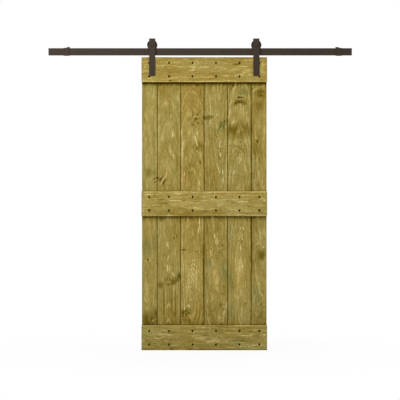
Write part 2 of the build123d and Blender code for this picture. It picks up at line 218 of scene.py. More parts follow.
def solid_boxes(node: bpy.types.Object) -> list[Box]:
    """Measure each separate solid of a node.

    Args:
        node: A carried-over node, whose mesh is loose triangles.

    Returns:
        The lowest and highest corner of each solid, sorted by place to a tenth of a millimetre.
    """
    shell = bmesh.new()
    shell.from_mesh(node.data)
    bmesh.ops.remove_doubles(shell, verts=shell.verts, dist=MERGE_DISTANCE)
    left = set(shell.verts)
    boxes = []
    while left:
        front = [left.pop()]
        solid = []
        while front:
            vertex = front.pop()
            solid.append(vertex.co.copy())
            near = {edge.other_vert(vertex) for edge in vertex.link_edges} & left
            left -= near
            front.extend(near)
        low = Vector([min(place[axis] for place in solid) for axis in range(3)])
        high = Vector([max(place[axis] for place in solid) for axis in range(3)])
        boxes.append((low, high))
    shell.free()
    return sorted(boxes, key=lambda box: (round(box[0].z, 4), round(box[0].x, 4), round(box[0].y, 4)))


def front_seats(boxes: Iterable[Box]) -> list[Vector]:
    """Find where the axis of each round solid meets its front face."""
    return [Vector(((low.x + high.x) / 2, low.y, (low.z + high.z) / 2)) for low, high in boxes]


def round_size(box: Box) -> Pair:
    """Measure a round solid that lies along Y: its radius and its length."""
    low, high = box
    return (high.x - low.x) / 2, high.y - low.y


@dataclass(frozen=True)
class Photo:
    """Where the photograph, 400 by 400 pixels, shows the track: it ties pixels to places on the door.

    Attributes:
        rail_left_column: Column of the bar's left end.
        rail_right_column: Column of the bar's right end.
        rail_row: Row of the bar's middle line.
        side: Pixels along one side of the frame.
    """

    rail_left_column: float = 48.41
    rail_right_column: float = 351.9
    rail_row: float = 51.8
    side: int = 400

    def metres_per_pixel(self) -> float:
        """Scale of the picture in the plane of the bar."""
        low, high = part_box("rail")
        return (high.x - low.x) / (self.rail_right_column - self.rail_left_column)

    def place(self, column: float, row: float) -> Pair:
        """Find the place that a pixel shows.

        Args:
            column: Pixels from the left.
            row: Pixels from the top.

        Returns:
            X and Z in the row frame.
        """
        low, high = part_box("rail")
        scale = self.metres_per_pixel()
        middle_column = (self.rail_left_column + self.rail_right_column) / 2
        x = (low.x + high.x) / 2 + (column - middle_column) * scale
        z = (low.z + high.z) / 2 + (self.rail_row - row) * scale
        return x, z


class Grain(Enum):
    """Which way a board's fibres run, as the turn about Y that lays them along the board's Z."""

    UPRIGHT = 0.0
    LEVEL = math.pi / 2


@dataclass(frozen=True)
class Mark:
    """A place in a board's figure.

    Attributes:
        column: Pixel column of its middle in the photograph.
        row: Pixel row of its middle.
        across: Half size across the grain, in millimetres.
        along: Half size along the grain, in millimetres.
        tone: How much lighter it is, or darker where negative.
        green: How much greener it is.
        turn: Degrees by which it leans.
    """

    column: float
    row: float
    across: float
    along: float
    tone: float = 0.0
    green: float = 0.0
    turn: float = 0.0


@dataclass(frozen=True)
class Patch(Mark):
    """A soft-edged place where the stain took differently, or a painted highlight along a batten's arris."""


@dataclass(frozen=True)
class Knot(Mark):
    """A knot, whose tone is the share of a black knot's depth."""

    tone: float = 1.0


@dataclass(frozen=True)
class Streaks(Mark):
    """A place where torn grain takes the stain in strokes along the mark.

    Attributes:
        stripe: Tone between a dark and a light stroke, halved.
        pitch: Millimetres from stroke to stroke.
    """

    stripe: float = 0.3
    pitch: float = 12.0


@dataclass(frozen=True)
class Arches:
    """A row of pale pointed arches, where a growth ring comes to the face.

    Attributes:
        column: Pixel column of the first arch's tip.
        row: Pixel row of that tip.
        leg: Half the length of a leg, in millimetres.
        spread: Degrees by which a leg leans.
        tone: How much lighter it is.
        count: How many arches there are.
        step: Pixels from tip to tip, sideways and down.
        thickness: Half the thickness of a leg, in millimetres.
    """

    column: float
    row: float
    leg: float
    spread: float
    tone: float
    count: int = 1
    step: Pair = (0.0, 0.0)
    thickness: float = 4.2

    def legs(self, pixel: float) -> list[Patch]:
        """Lay out the legs.

        Args:
            pixel: Size of a pixel in millimetres.

        Returns:
            Two thin patches for each arch.
        """
        out = self.leg * math.sin(math.radians(self.spread)) / pixel
        down = self.leg * math.cos(math.radians(self.spread)) / pixel
        legs = []
        for number in range(self.count):
            column = self.column + number * self.step[0]
            row = self.row + number * self.step[1] + down
            legs += [
                Patch(column - side * out, row, self.thickness, self.leg, self.tone, turn=side * self.spread)
                for side in (-1, 1)
            ]
        return legs


@dataclass(frozen=True)
class Board:
    """One board's own figure.

    Attributes:
        node: The board's solid.
        tone: How much lighter than the rest the board is.
        green: How much greener than the rest it is.
        busy: Strength of its fine figure.
        heart: Pixel column, or row on a level board, over which the heart of the tree runs.
        heart_depth: How far the heart lies behind the board's middle, in millimetres.
        heart_tilt: Rise of the heart towards the face along the board, which draws the arches of the figure.
        seed: Offset that makes its noise its own.
        grain: Which way its fibres run.
        tongue: How far its tongue goes under the next plank, in millimetres.
        knots: Its knots.
        marks: Its stain patches and streaks.
        arches: Its arches.
    """

    node: str
    tone: float
    green: float
    busy: float
    heart: float
    heart_depth: float
    heart_tilt: float
    seed: float
    grain: Grain = Grain.UPRIGHT
    tongue: float = 0.0
    knots: tuple[Knot, ...] = ()
    marks: tuple[Patch | Streaks, ...] = ()
    arches: tuple[Arches, ...] = ()

    def across_along(self, x: float, z: float) -> Pair:
        """Turn a place in the row frame into one on the board.

        Args:
            x: Place along X.
            z: Place along Z.

        Returns:
            Millimetres across and along the grain, from the board's middle.
        """
        low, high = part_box(self.node)
        right = (x - (low.x + high.x) / 2) / MM
        up = (z - (low.z + high.z) / 2) / MM
        return (right, up) if self.grain is Grain.UPRIGHT else (-up, right)


PLANK_TONGUE = 8.0
PLANK_1 = Board(
    "plank_1", tone=0.01, green=0.22, busy=0.7, heart=146.5, heart_depth=70, heart_tilt=0.03,
    seed=3.1, tongue=PLANK_TONGUE,
    knots=(Knot(147.7, 260.2, 9, 11, 0.8), Knot(157.6, 178.4, 10, 8, 0.8, turn=30)),
    marks=(
        Patch(154.3, 137, 18, 400, -0.1), Patch(149, 113, 50, 80, 0.07), Patch(145.7, 139, 6, 26, 0.2),
        Patch(146.3, 158, 7, 70, 0.14), Patch(149.5, 172.5, 90, 46, -0.13, 0.1),
        Streaks(155, 180, 36, 36, -0.12, turn=40, stripe=0.34), Patch(147, 184.5, 7, 50, 0.24),
        Patch(143.5, 184, 14, 50, -0.07, 0.8), Patch(149, 232, 7, 90, 0.1),
        Patch(149, 246, 90, 110, -0.07, 0.45), Patch(146.2, 260.4, 5, 7, 0.3), Patch(150.1, 260, 4, 16, 0.26),
        Patch(145.7, 272.9, 6, 10, 0.35), Patch(148, 287, 30, 100, 0.06),
        Patch(145.7, 300.2, 5, 28, 0.32, turn=-22), Patch(147.3, 308.4, 24, 20, 0.14),
        Patch(149.5, 320.5, 130, 96, -0.22, 0.1), Patch(155.5, 311.5, 30, 46, -0.16),
        Patch(153.3, 320.8, 5, 30, 0.34, turn=48), Patch(155, 323, 16, 16, 0.12),
    ),
)
PLANK_2 = Board(
    "plank_2", tone=-0.015, green=0.12, busy=0.7, heart=168.5, heart_depth=62,
    heart_tilt=0.11, seed=11.7, tongue=PLANK_TONGUE,
    knots=(
        Knot(173.9, 237.4, 8, 9, 0.95), Knot(178.9, 274.6, 6, 14, 0.5, turn=20),
        Knot(157.6, 178.4, 10, 8, 0.8),
    ),
    marks=(
        Patch(158.8, 137, 10, 400, 0.13), Patch(168, 113, 70, 80, -0.07), Patch(168, 166, 70, 80, 0.07),
        Patch(169, 227, 70, 60, -0.06), Patch(177.3, 137, 16, 400, -0.1), Patch(170.9, 116, 6, 26, 0.22),
        Patch(172.7, 134.5, 6, 30, 0.3), Patch(170.2, 148, 6, 40, 0.26, turn=-5),
        Patch(173.3, 156.5, 6, 26, 0.24), Patch(171.4, 127.7, 14, 22, -0.12),
        Patch(174, 172, 26, 36, -0.05, 0.4), Patch(176.5, 160, 16, 90, -0.07),
        Streaks(162, 180.5, 50, 46, -0.04, turn=38, stripe=0.45, pitch=14),
        Patch(166, 175.4, 5, 34, 0.34, turn=24), Patch(167.3, 187.5, 5, 16, 0.3),
        Patch(162, 219, 36, 26, -0.2, -0.2), Patch(167.3, 219.5, 5, 12, 0.22),
        Streaks(170, 234.8, 20, 24, 0.06, stripe=0.26, pitch=11), Patch(175.2, 236.8, 5, 7, 0.36),
        Patch(176.7, 236.6, 5, 14, -0.22), Patch(167.3, 244.4, 5, 34, 0.36, turn=-22),
        Patch(168.1, 258, 6, 32, 0.36, turn=10), Patch(167.4, 268, 6, 36, 0.44, turn=-8),
        Patch(169.5, 269.5, 5, 30, 0.36), Patch(173.5, 274.5, 5, 26, 0.5, turn=-34),
        Streaks(177.2, 278, 38, 62, -0.3, turn=32, stripe=0.3), Patch(173.6, 282.6, 28, 34, -0.34),
        Streaks(168, 280.5, 40, 46, -0.24, turn=10, stripe=0.2), Patch(168.6, 284.8, 22, 18, -0.16),
        Patch(167.6, 282.2, 4, 14, 0.4, turn=-40), Patch(169.8, 282.2, 4, 14, 0.4, turn=40),
        Patch(160.3, 285, 30, 44, -0.24), Patch(163.8, 303, 4.5, 180, -0.26), Patch(165.6, 300, 4, 130, 0.15),
        Patch(161, 306, 4.5, 130, -0.14), Patch(171.8, 299, 4.5, 140, -0.22), Patch(173.6, 297, 5, 120, 0.16),
        Patch(175.6, 304, 4.5, 160, -0.18), Patch(168, 296, 80, 80, -0.05), Patch(175, 313.5, 12, 24, -0.14),
    ),
    arches=(Arches(168.5, 302.5, 27, 19, 0.42, 2, (0.0, 15.2)),),
)
PLANK_3 = Board(
    "plank_3", tone=0.0, green=-0.1, busy=0.95, heart=191.5, heart_depth=58, heart_tilt=0.13,
    seed=23.9, tongue=PLANK_TONGUE,
    knots=(Knot(183.6, 250, 24, 9, 0.8), Knot(204.4, 117.8, 11, 14, 0.4)),
    marks=(
        Patch(182, 205, 10, 1000, 0.17), Patch(197, 84.8, 13, 9, -0.26), Patch(200.3, 93, 8, 58, -0.14),
        Streaks(196, 119.6, 76, 78, -0.14, turn=38, stripe=0.3, pitch=13), Patch(188.5, 119, 40, 22, -0.07),
        Patch(182.6, 150, 8, 150, 0.12), Patch(197.3, 133.2, 5, 22, 0.44),
        Patch(195.6, 138, 5, 24, 0.38, turn=-14), Patch(190, 150, 60, 70, -0.06),
        Streaks(198.2, 146.8, 48, 56, -0.26, turn=30, stripe=0.26), Patch(197.5, 145.5, 5, 10, 0.5),
        Patch(194.5, 147.7, 5, 9, 0.4), Patch(196.8, 151.4, 5, 10, 0.44), Patch(200.2, 162.3, 9, 18, -0.26),
        Streaks(189, 169.5, 64, 64, -0.06, -0.3, turn=12, stripe=0.2), Patch(184.5, 173.8, 5, 18, 0.36),
        Patch(195, 172.7, 5, 30, 0.28), Patch(199.5, 183, 5, 26, 0.34), Patch(192, 184, 60, 60, 0.05),
        Patch(192, 185.5, 16, 44, -0.08), Patch(199.5, 221.5, 5, 28, 0.44),
        Patch(198.6, 230, 5, 38, 0.46, turn=4), Streaks(194.5, 236, 24, 40, -0.04, stripe=0.14),
        Patch(195, 249, 11, 11, 0.3), Patch(195, 249, 5, 5, -0.5), Patch(196.4, 251.6, 10, 9, -0.2),
        Patch(192, 268, 80, 300, 0.08, -0.1), Patch(187.5, 292, 10, 40, 0.1),
        Patch(184.6, 308.4, 5, 18, 0.36), Streaks(185, 312.5, 46, 50, -0.27, turn=25, stripe=0.24),
        Patch(188.9, 313.4, 16, 16, -0.2), Patch(187, 320, 60, 30, -0.12, -0.3),
        Patch(197, 312, 56, 90, -0.05, -0.5), Patch(203.4, 270, 8, 420, -0.26),
        Patch(203.6, 140, 8, 400, -0.12),
    ),
    arches=(Arches(193.9, 258.2, 17, 30, 0.32, 7, (-0.75, 4.5)), Arches(188.6, 303.9, 17, 22, 0.5)),
)
PLANK_4 = Board(
    "plank_4", tone=0.0, green=0.12, busy=1.02, heart=219.5, heart_depth=66,
    heart_tilt=-0.07, seed=37.3, tongue=PLANK_TONGUE,
    knots=(Knot(204.4, 117.8, 11, 14, 0.4), Knot(218.7, 132.4, 9, 12, 0.45, turn=20)),
    marks=(
        Patch(206, 130, 12, 260, 0.08, 0.4), Patch(207.4, 118, 44, 27, -0.3, 0.2),
        Patch(211.4, 116.5, 30, 16, -0.24), Patch(224.3, 137, 16, 400, -0.09), Patch(215, 94, 60, 70, 0.05),
        Patch(213, 132, 60, 80, -0.1), Patch(216, 228, 60, 60, -0.06), Patch(215, 276, 70, 190, 0.06),
        Patch(206.2, 270, 14, 400, -0.09), Patch(220.3, 101.2, 12, 14, -0.16), Patch(213.6, 88, 6, 40, 0.2),
        Patch(218, 114.6, 5, 14, 0.3), Streaks(222.5, 125, 50, 76, -0.18, 0.5, turn=30, stripe=0.2),
        Patch(219.6, 132, 4, 12, 0.3), Patch(219.8, 146, 5, 22, 0.36, turn=-8),
        Patch(220.3, 154.2, 5, 20, 0.42, turn=-6), Patch(220.7, 162, 5, 14, 0.34),
        Patch(222.5, 171.3, 5, 24, 0.36), Patch(223.2, 180, 5, 26, 0.5), Patch(221.5, 168, 4, 120, -0.16),
        Streaks(219.5, 152, 40, 170, -0.03, turn=-6, stripe=0.22), Patch(213.5, 183, 56, 60, -0.09),
        Patch(206.8, 228, 18, 70, -0.12), Patch(214.5, 236, 5, 26, 0.36),
        Patch(215.3, 241.5, 5, 20, 0.3, turn=-8), Streaks(221.6, 245.5, 34, 34, -0.12, turn=36, stripe=0.2),
        Patch(220.2, 251, 9, 24, -0.14), Streaks(211.5, 253, 40, 64, 0.06, -0.4, stripe=0.28),
        Patch(208.5, 263, 36, 50, -0.05, 0.6), Patch(224, 271, 36, 120, -0.03, 0.85),
        Patch(215, 278, 34, 100, 0.06, -0.4), Patch(207.5, 286, 14, 44, -0.02, 0.5),
        Patch(216, 289, 12, 18, 0.1, 0.35), Streaks(221.6, 305.6, 30, 34, -0.2, turn=-30, stripe=0.26),
        Patch(224, 309, 9, 11, -0.26), Patch(224.3, 312, 5, 26, 0.36, turn=10),
        Patch(223.4, 320, 5, 22, 0.34), Patch(222.3, 318, 4, 30, -0.2, turn=8),
        Patch(209, 313, 44, 76, -0.08),
    ),
)
PLANK_5 = Board(
    "plank_5", tone=0.015, green=0.14, busy=1.12, heart=240.5, heart_depth=54,
    heart_tilt=0.1, seed=51.1, tongue=PLANK_TONGUE,
    knots=(Knot(240.2, 97.4, 22, 7.5, 1.0), Knot(241.9, 241.5, 9, 9, 0.7)),
    marks=(
        Streaks(232, 87, 26, 36, -0.14, turn=20, stripe=0.16, pitch=14), Patch(245, 91.5, 50, 54, -0.06, 0.7),
        Patch(240.4, 95.3, 24, 4, 0.3), Patch(240.3, 99.4, 20, 5, 0.34), Patch(239.8, 101.6, 46, 24, -0.46),
        Patch(235.8, 103.6, 26, 22, -0.24, turn=40), Patch(244.6, 103.4, 26, 22, -0.24, turn=-40),
        Patch(240, 103.8, 5, 6, 0.6), Patch(237.4, 112, 4, 56, 0.26, turn=3),
        Patch(243.6, 111, 4, 50, 0.26, turn=-3), Patch(240.5, 113, 22, 66, 0.07),
        Patch(239.5, 130.2, 400, 84, -0.2, -0.1, turn=-8), Patch(231.5, 129, 60, 44, -0.1),
        Patch(233, 122.6, 60, 14, 0.1, turn=-12),
        Streaks(239.5, 149, 110, 120, 0.0, 0.15, turn=-24, stripe=0.16, pitch=13),
        Patch(239, 168, 90, 180, 0.0, 0.2), Patch(231, 232, 34, 100, 0.03, 0.5),
        Patch(242.3, 239.5, 5, 7, 0.34), Patch(240.5, 247.8, 6, 26, 0.5), Patch(242.3, 266.8, 6, 16, 0.44),
        Patch(239.5, 274, 56, 300, 0.15, -0.2), Patch(240, 268, 70, 110, 0.08),
        Patch(230.6, 281, 32, 150, -0.05, 0.8), Patch(231.5, 312, 36, 90, -0.04, 0.7),
        Streaks(237, 299, 14, 36, 0.04, stripe=0.2), Patch(245.4, 303.5, 6, 14, -0.22),
    ),
    arches=(Arches(242, 225.2, 22, 24, 0.42), Arches(238, 140, 12, 40, 0.26, 2, (0.6, 2.6))),
)
PLANK_6 = Board(
    "plank_6", tone=0.008, green=0.17, busy=0.9, heart=262.5, heart_depth=74,
    heart_tilt=-0.05, seed=67.7,
    knots=(Knot(257.7, 141.4, 10, 12, 0.9), Knot(251.6, 88.4, 7, 8, 0.9)),
    marks=(
        Patch(251.7, 205, 5, 1000, -0.3), Patch(253.6, 205, 14, 1000, -0.08),
        Patch(264.2, 137, 18, 400, 0.12), Patch(258, 121, 60, 130, 0.1, 0.25), Patch(258, 184, 60, 50, -0.06),
        Patch(258, 227, 60, 70, -0.13), Patch(258, 282, 60, 120, 0.08),
        Patch(253.9, 90.6, 4.5, 24, 0.42, turn=38), Patch(257, 87.9, 4.5, 16, 0.38, turn=66),
        Patch(261, 86.7, 4.5, 22, 0.3, turn=82),
        Streaks(260.5, 93.5, 56, 52, -0.22, turn=42, stripe=0.12, pitch=10), Patch(259.5, 105, 40, 50, -0.1),
        Patch(258.9, 141, 4, 9, 0.5), Patch(255.8, 138, 4, 20, 0.36, turn=52),
        Patch(256.5, 152.5, 44, 84, -0.16, -0.1), Patch(262.2, 182.3, 5, 20, 0.36),
        Patch(260.5, 233, 8, 60, 0.2), Patch(258, 243, 5, 24, 0.26, turn=20),
        Patch(263.4, 247.4, 6, 10, 0.26), Patch(262, 254.8, 40, 62, -0.32, 0.05),
        Patch(256, 294, 50, 110, 0.0, 0.6), Patch(262.5, 295.4, 5, 16, 0.42), Patch(264, 304.2, 5, 9, 0.4),
        Patch(260.3, 304.5, 4, 16, -0.24, turn=24), Patch(259.4, 303, 4, 24, 0.26, turn=14),
        Patch(258, 314, 64, 64, -0.1, 0.2), Patch(258, 275, 80, 320, -0.07),
    ),
    arches=(Arches(259, 152, 44, 16, 0.14, 3, (0.4, 9.0)),),
)
TOP_BATTEN = Board(
    "top_batten", tone=0.0, green=-0.04, busy=1.15, heart=72, heart_depth=60, heart_tilt=0.02,
    seed=83.3, grain=Grain.LEVEL,
    knots=(Knot(265, 60.8, 7, 7, 0.8),),
    marks=(
        # The first three patches run the batten's length: darker along its top, lighter towards its bottom,
        # and a painted highlight along its lower arris
        Patch(204, 58.6, 14, 900, -0.08), Patch(204, 78, 40, 900, 0.05), Patch(204, 81.5, 6, 900, 0.22),
        Patch(144.2, 66.8, 7, 12, 0.4), Streaks(166.5, 67.4, 22, 44, 0.04, stripe=0.3, pitch=11),
        Patch(192.5, 70.2, 5, 50, 0.3, turn=-10), Patch(199, 68.4, 5, 24, 0.24, turn=-20),
        Patch(241.7, 66.8, 5, 68, 0.4), Patch(236.5, 64.3, 7, 34, -0.2), Patch(262.6, 66, 46, 12, 0.15),
        Patch(217, 74.5, 44, 76, -0.05), Patch(170.4, 80.6, 7, 18, -0.26),
    ),
)
MIDDLE_BATTEN = Board(
    "middle_batten", tone=0.03, green=-0.02, busy=1.1, heart=205, heart_depth=64,
    heart_tilt=-0.03, seed=97.9, grain=Grain.LEVEL,
    knots=(Knot(172.8, 213.8, 5, 16, 0.4),),
    marks=(
        # The first two patches run the batten's length: a painted highlight along its upper arris, and darker
        # along its lower part
        Patch(204, 192.4, 5, 900, 0.18), Patch(204, 213, 26, 900, -0.1),
        Streaks(154.5, 195.2, 18, 70, -0.1, stripe=0.2, pitch=14), Patch(163, 203, 4, 50, -0.28),
        Patch(161, 199.6, 4, 36, -0.22), Patch(176, 200.5, 6, 64, 0.42), Patch(242, 201.7, 6, 58, 0.38),
        Patch(264.5, 200.4, 6, 14, 0.5), Patch(205.5, 211, 18, 30, -0.12), Patch(211.8, 199, 6, 30, 0.26),
        Patch(199, 203, 26, 40, -0.08), Patch(222, 206, 20, 60, 0.07),
        Patch(251, 205, 5, 30, -0.16, turn=-40),
    ),
)
BOTTOM_BATTEN = Board(
    "bottom_batten", tone=-0.025, green=0.22, busy=1.25, heart=340, heart_depth=66,
    heart_tilt=0.03, seed=113.3, grain=Grain.LEVEL,
    knots=(Knot(150.5, 342, 6, 9, 0.4),),
    marks=(
        # The first two patches run the batten's length: a painted highlight along its upper arris, and darker
        # along its lower edge
        Patch(204, 326.2, 5, 900, 0.16), Patch(204, 349.4, 7, 900, -0.2), Patch(204, 331, 56, 900, 0.07, 0.2),
        Patch(179.3, 338.7, 14, 20, 0.32), Patch(179.3, 338.7, 8, 10, -0.44), Patch(245, 335.6, 6, 66, 0.4),
        Patch(264.5, 334.6, 6, 14, 0.5), Streaks(219, 337.5, 30, 44, 0.02, turn=14, stripe=0.14, pitch=14),
        Patch(250.6, 331, 4, 34, -0.26), Streaks(158, 337.5, 40, 80, 0.04, turn=-6, stripe=0.2, pitch=15),
        Patch(205.5, 336, 24, 44, -0.1, 0.4), Patch(171.5, 348.6, 6, 20, -0.26),
        Streaks(240, 341, 30, 90, -0.02, 0.2, turn=8, stripe=0.14, pitch=14), Patch(166, 340.5, 5, 30, 0.2),
    ),
)
BOARDS = (
    PLANK_1, PLANK_2, PLANK_3, PLANK_4, PLANK_5, PLANK_6, TOP_BATTEN, MIDDLE_BATTEN, BOTTOM_BATTEN,
)


@dataclass(frozen=True)
class Layer:
    """One noise in the wood.

    Attributes:
        name: What it draws.
        size: Width of its grain across, through and along the board, in millimetres.
        detail: How many finer octaves it holds.
        rough: How strong those octaves are.
        tone: What it adds to the tone, from its lowest to its highest value.
        green: What it adds to the green share.
        relief: What it adds to the raised grain.
        fine: Whether it is part of the fine figure, which is calm in places.
    """

    name: str
    size: Triple
    detail: float
    rough: float
    tone: float = 0.0
    green: float = 0.0
    relief: float = 0.0
    fine: bool = False


@dataclass(frozen=True)
class StainLine:
    """Painted shade on the planks along a batten's edge, where the batten shades them.

    Attributes:
        batten: The batten.
        above: Whether it lies over the batten's upper edge.
        tone: Tone of the line at the edge.
        start: Millimetres from the edge to where it starts to fade.
        reach: Millimetres from the edge to where it ends.
    """

    batten: str
    above: bool
    tone: float
    start: float
    reach: float


@dataclass(frozen=True)
class StainedPine:
    """Knotty pine, planed, then stained olive gold: streaky rings, dark knots, painted highlight and shade at
    edges.

    The growth rings and fibres are drawn wider than pine's own, so that they show in the render. Lengths are
    in millimetres.

    Attributes:
        middle: Tone of the plain wood.
        green: Green share of the plain wood.
        liveliness: Strength of the fine figure in calm and in lively places.
        ring_pitch: Width of one growth ring.
        ring_tone: Tone between a ring's darkest and lightest line.
        ring_relief: How far a ring stands in the raised grain.
        ring_stops: Shades across a ring: even early wood, a pale line, then dark late wood.
        ring_found: Range of the mottle over which rings come and go.
        ring_shown: How strongly they show at its ends.
        knot_bulge: How far rings swing round a knot.
        knot_reach: How far a knot's halo goes, in knot sizes.
        knot_tone: Tone between a knot's rim and its pale halo.
        knot_stops: Shades from a knot's middling heart over its dark rim to its halo.
        sway: How far fibres wander across, through and along the board.
        sway_size: Length of those wanderings.
        sway_detail: How many finer octaves they hold.
        fray: How far the edge of a mark frays.
        fray_size: Length of that fraying.
        thin_mark: Half width under which a mark has a crisp edge.
        crisp_edge: Share of a thin mark over which it fades in.
        soft_edge: The same share of a broad mark.
        mark_broken: Strength of the marks where the specks break them and where they deepen them.
        stroke_length: Length of a stroke in streaked grain, in stroke widths.
        stroke_scale: Strokes and gaps in one stroke's pitch.
        stroke_detail: How many finer octaves the strokes hold.
        joint_bands: Width and tone of the dark band at a plank's left and right edge: stain, with painted
            shade on the right edge.
        arris_bands: The same for a batten's upper edge, a painted highlight, and for its lower one, painted
            shade.
        pools: Painted shade on the planks along the battens, where the battens shade them.
        pool_depth: How deep on the planks' edges that painted shade ends and is full.
        pool_fall: Power by which that painted shade fades away from its batten.
        screw_band: Half width and half height of the dark ring round a screw head: stain, and painted shade
            of its countersunk recess.
        screw_core: Share of that ring which is full.
        screw_tone: Tone of that ring.
        end_tone: Tone that end grain loses.
        relief_depth: Height of the raised grain.
        relief_strength: How much of it shows.
        specular: Strength of the mirror light, which is low on matt stain.
        gloss_tones: Tones of dark and of light wood between which the roughness changes.
        roughness: Roughness of that dark and that light wood.
        gold: Tone stops of the wood where the stain is golden.
        olive: Tone stops where it is green.
        layers: Its noises, from the broadest to the finest.
    """

    middle: float = 0.529
    green: float = 0.2
    liveliness: Pair = (0.6, 1.3)
    ring_pitch: float = 19.0
    ring_tone: float = 0.32
    ring_relief: float = 0.5
    ring_stops: tuple[Pair, ...] = ((0.0, 0.42), (0.5, 0.5), (0.74, 1.0), (0.9, 0.12), (1.0, 0.42))
    ring_found: Pair = (0.36, 0.66)
    ring_shown: Pair = (0.1, 1.6)
    knot_bulge: float = 26.0
    knot_reach: float = 3.2
    knot_tone: float = 0.85
    knot_stops: tuple[Pair, ...] = (
        (0.0, 0.18), (0.14, 0.14), (0.25, 0.08), (0.32, 0.24), (0.42, 0.64), (0.56, 0.46), (1.0, 0.5),
    )
    sway: Triple = (14.0, 4.0, 50.0)
    sway_size: Triple = (90.0, 90.0, 260.0)
    sway_detail: float = 2.0
    fray: Triple = (3.5, 0.0, 8.0)
    fray_size: Triple = (10.0, 10.0, 30.0)
    thin_mark: float = 10.0
    crisp_edge: float = 0.6
    soft_edge: float = 0.9
    mark_broken: Pair = (0.55, 1.45)
    stroke_length: float = 4.0
    stroke_scale: float = 2.0
    stroke_detail: float = 1.0
    # Left edge: stain in the joint; right edge, turned from the key light: stain and painted shade
    joint_bands: tuple[Pair, Pair] = ((1.5, -0.2), (4.5, -0.42))
    # Upper edge: painted highlight; lower edge: painted shade
    arris_bands: tuple[Pair, Pair] = ((4.5, 0.2), (4.5, -0.05))
    # Painted shade on the planks beside each batten, darkest at the batten's edge
    pools: tuple[StainLine, ...] = (
        StainLine("top_batten", False, -0.5, 8, 50),
        StainLine("top_batten", False, -0.07, 0, 170),
        StainLine("middle_batten", True, -0.12, 0, 26),
        StainLine("middle_batten", False, -0.38, 0, 76),
        StainLine("bottom_batten", True, -0.22, 0, 22),
        StainLine("bottom_batten", True, -0.12, 0, 260),
    )
    pool_depth: Pair = (4.0, 1.0)
    pool_fall: float = 3.0
    # Dark ring round each screw head: stain and painted shade of the countersunk recess
    screw_band: Pair = (8.5, 11.0)
    screw_core: float = 0.5
    screw_tone: float = -1.0
    end_tone: float = -0.22
    relief_depth: float = 0.7
    relief_strength: float = 0.6
    specular: float = 0.06
    gloss_tones: Pair = (0.1, 0.9)
    roughness: Pair = (0.76, 0.6)
    gold: tuple[tuple[float, str], ...] = (
        (0.0, "#403000"), (0.22, "#6b550d"), (0.42, "#907a35"),
        (0.58, "#a6904b"), (0.76, "#bca55d"), (1.0, "#dbc886"),
    )
    olive: tuple[tuple[float, str], ...] = (
        (0.0, "#363200"), (0.22, "#605916"), (0.42, "#7f773a"),
        (0.58, "#958c50"), (0.76, "#aba164"), (1.0, "#cfc68a"),
    )
    layers: tuple[Layer, ...] = (
        Layer("blotch", (150, 60, 420), 2, 0.5, tone=0.4, green=1.4),
        Layer("mottle", (26, 20, 70), 3, 0.6, tone=0.4, green=0.6),
        Layer("grain", (7, 7, 110), 3, 0.62, tone=0.36, relief=0.6, fine=True),
        Layer("fibre", (2.8, 2.8, 36), 2, 0.6, tone=0.36, relief=0.8, fine=True),
        Layer("speck", (6.5, 6.5, 12), 2, 0.7, tone=0.62, fine=True),
    )


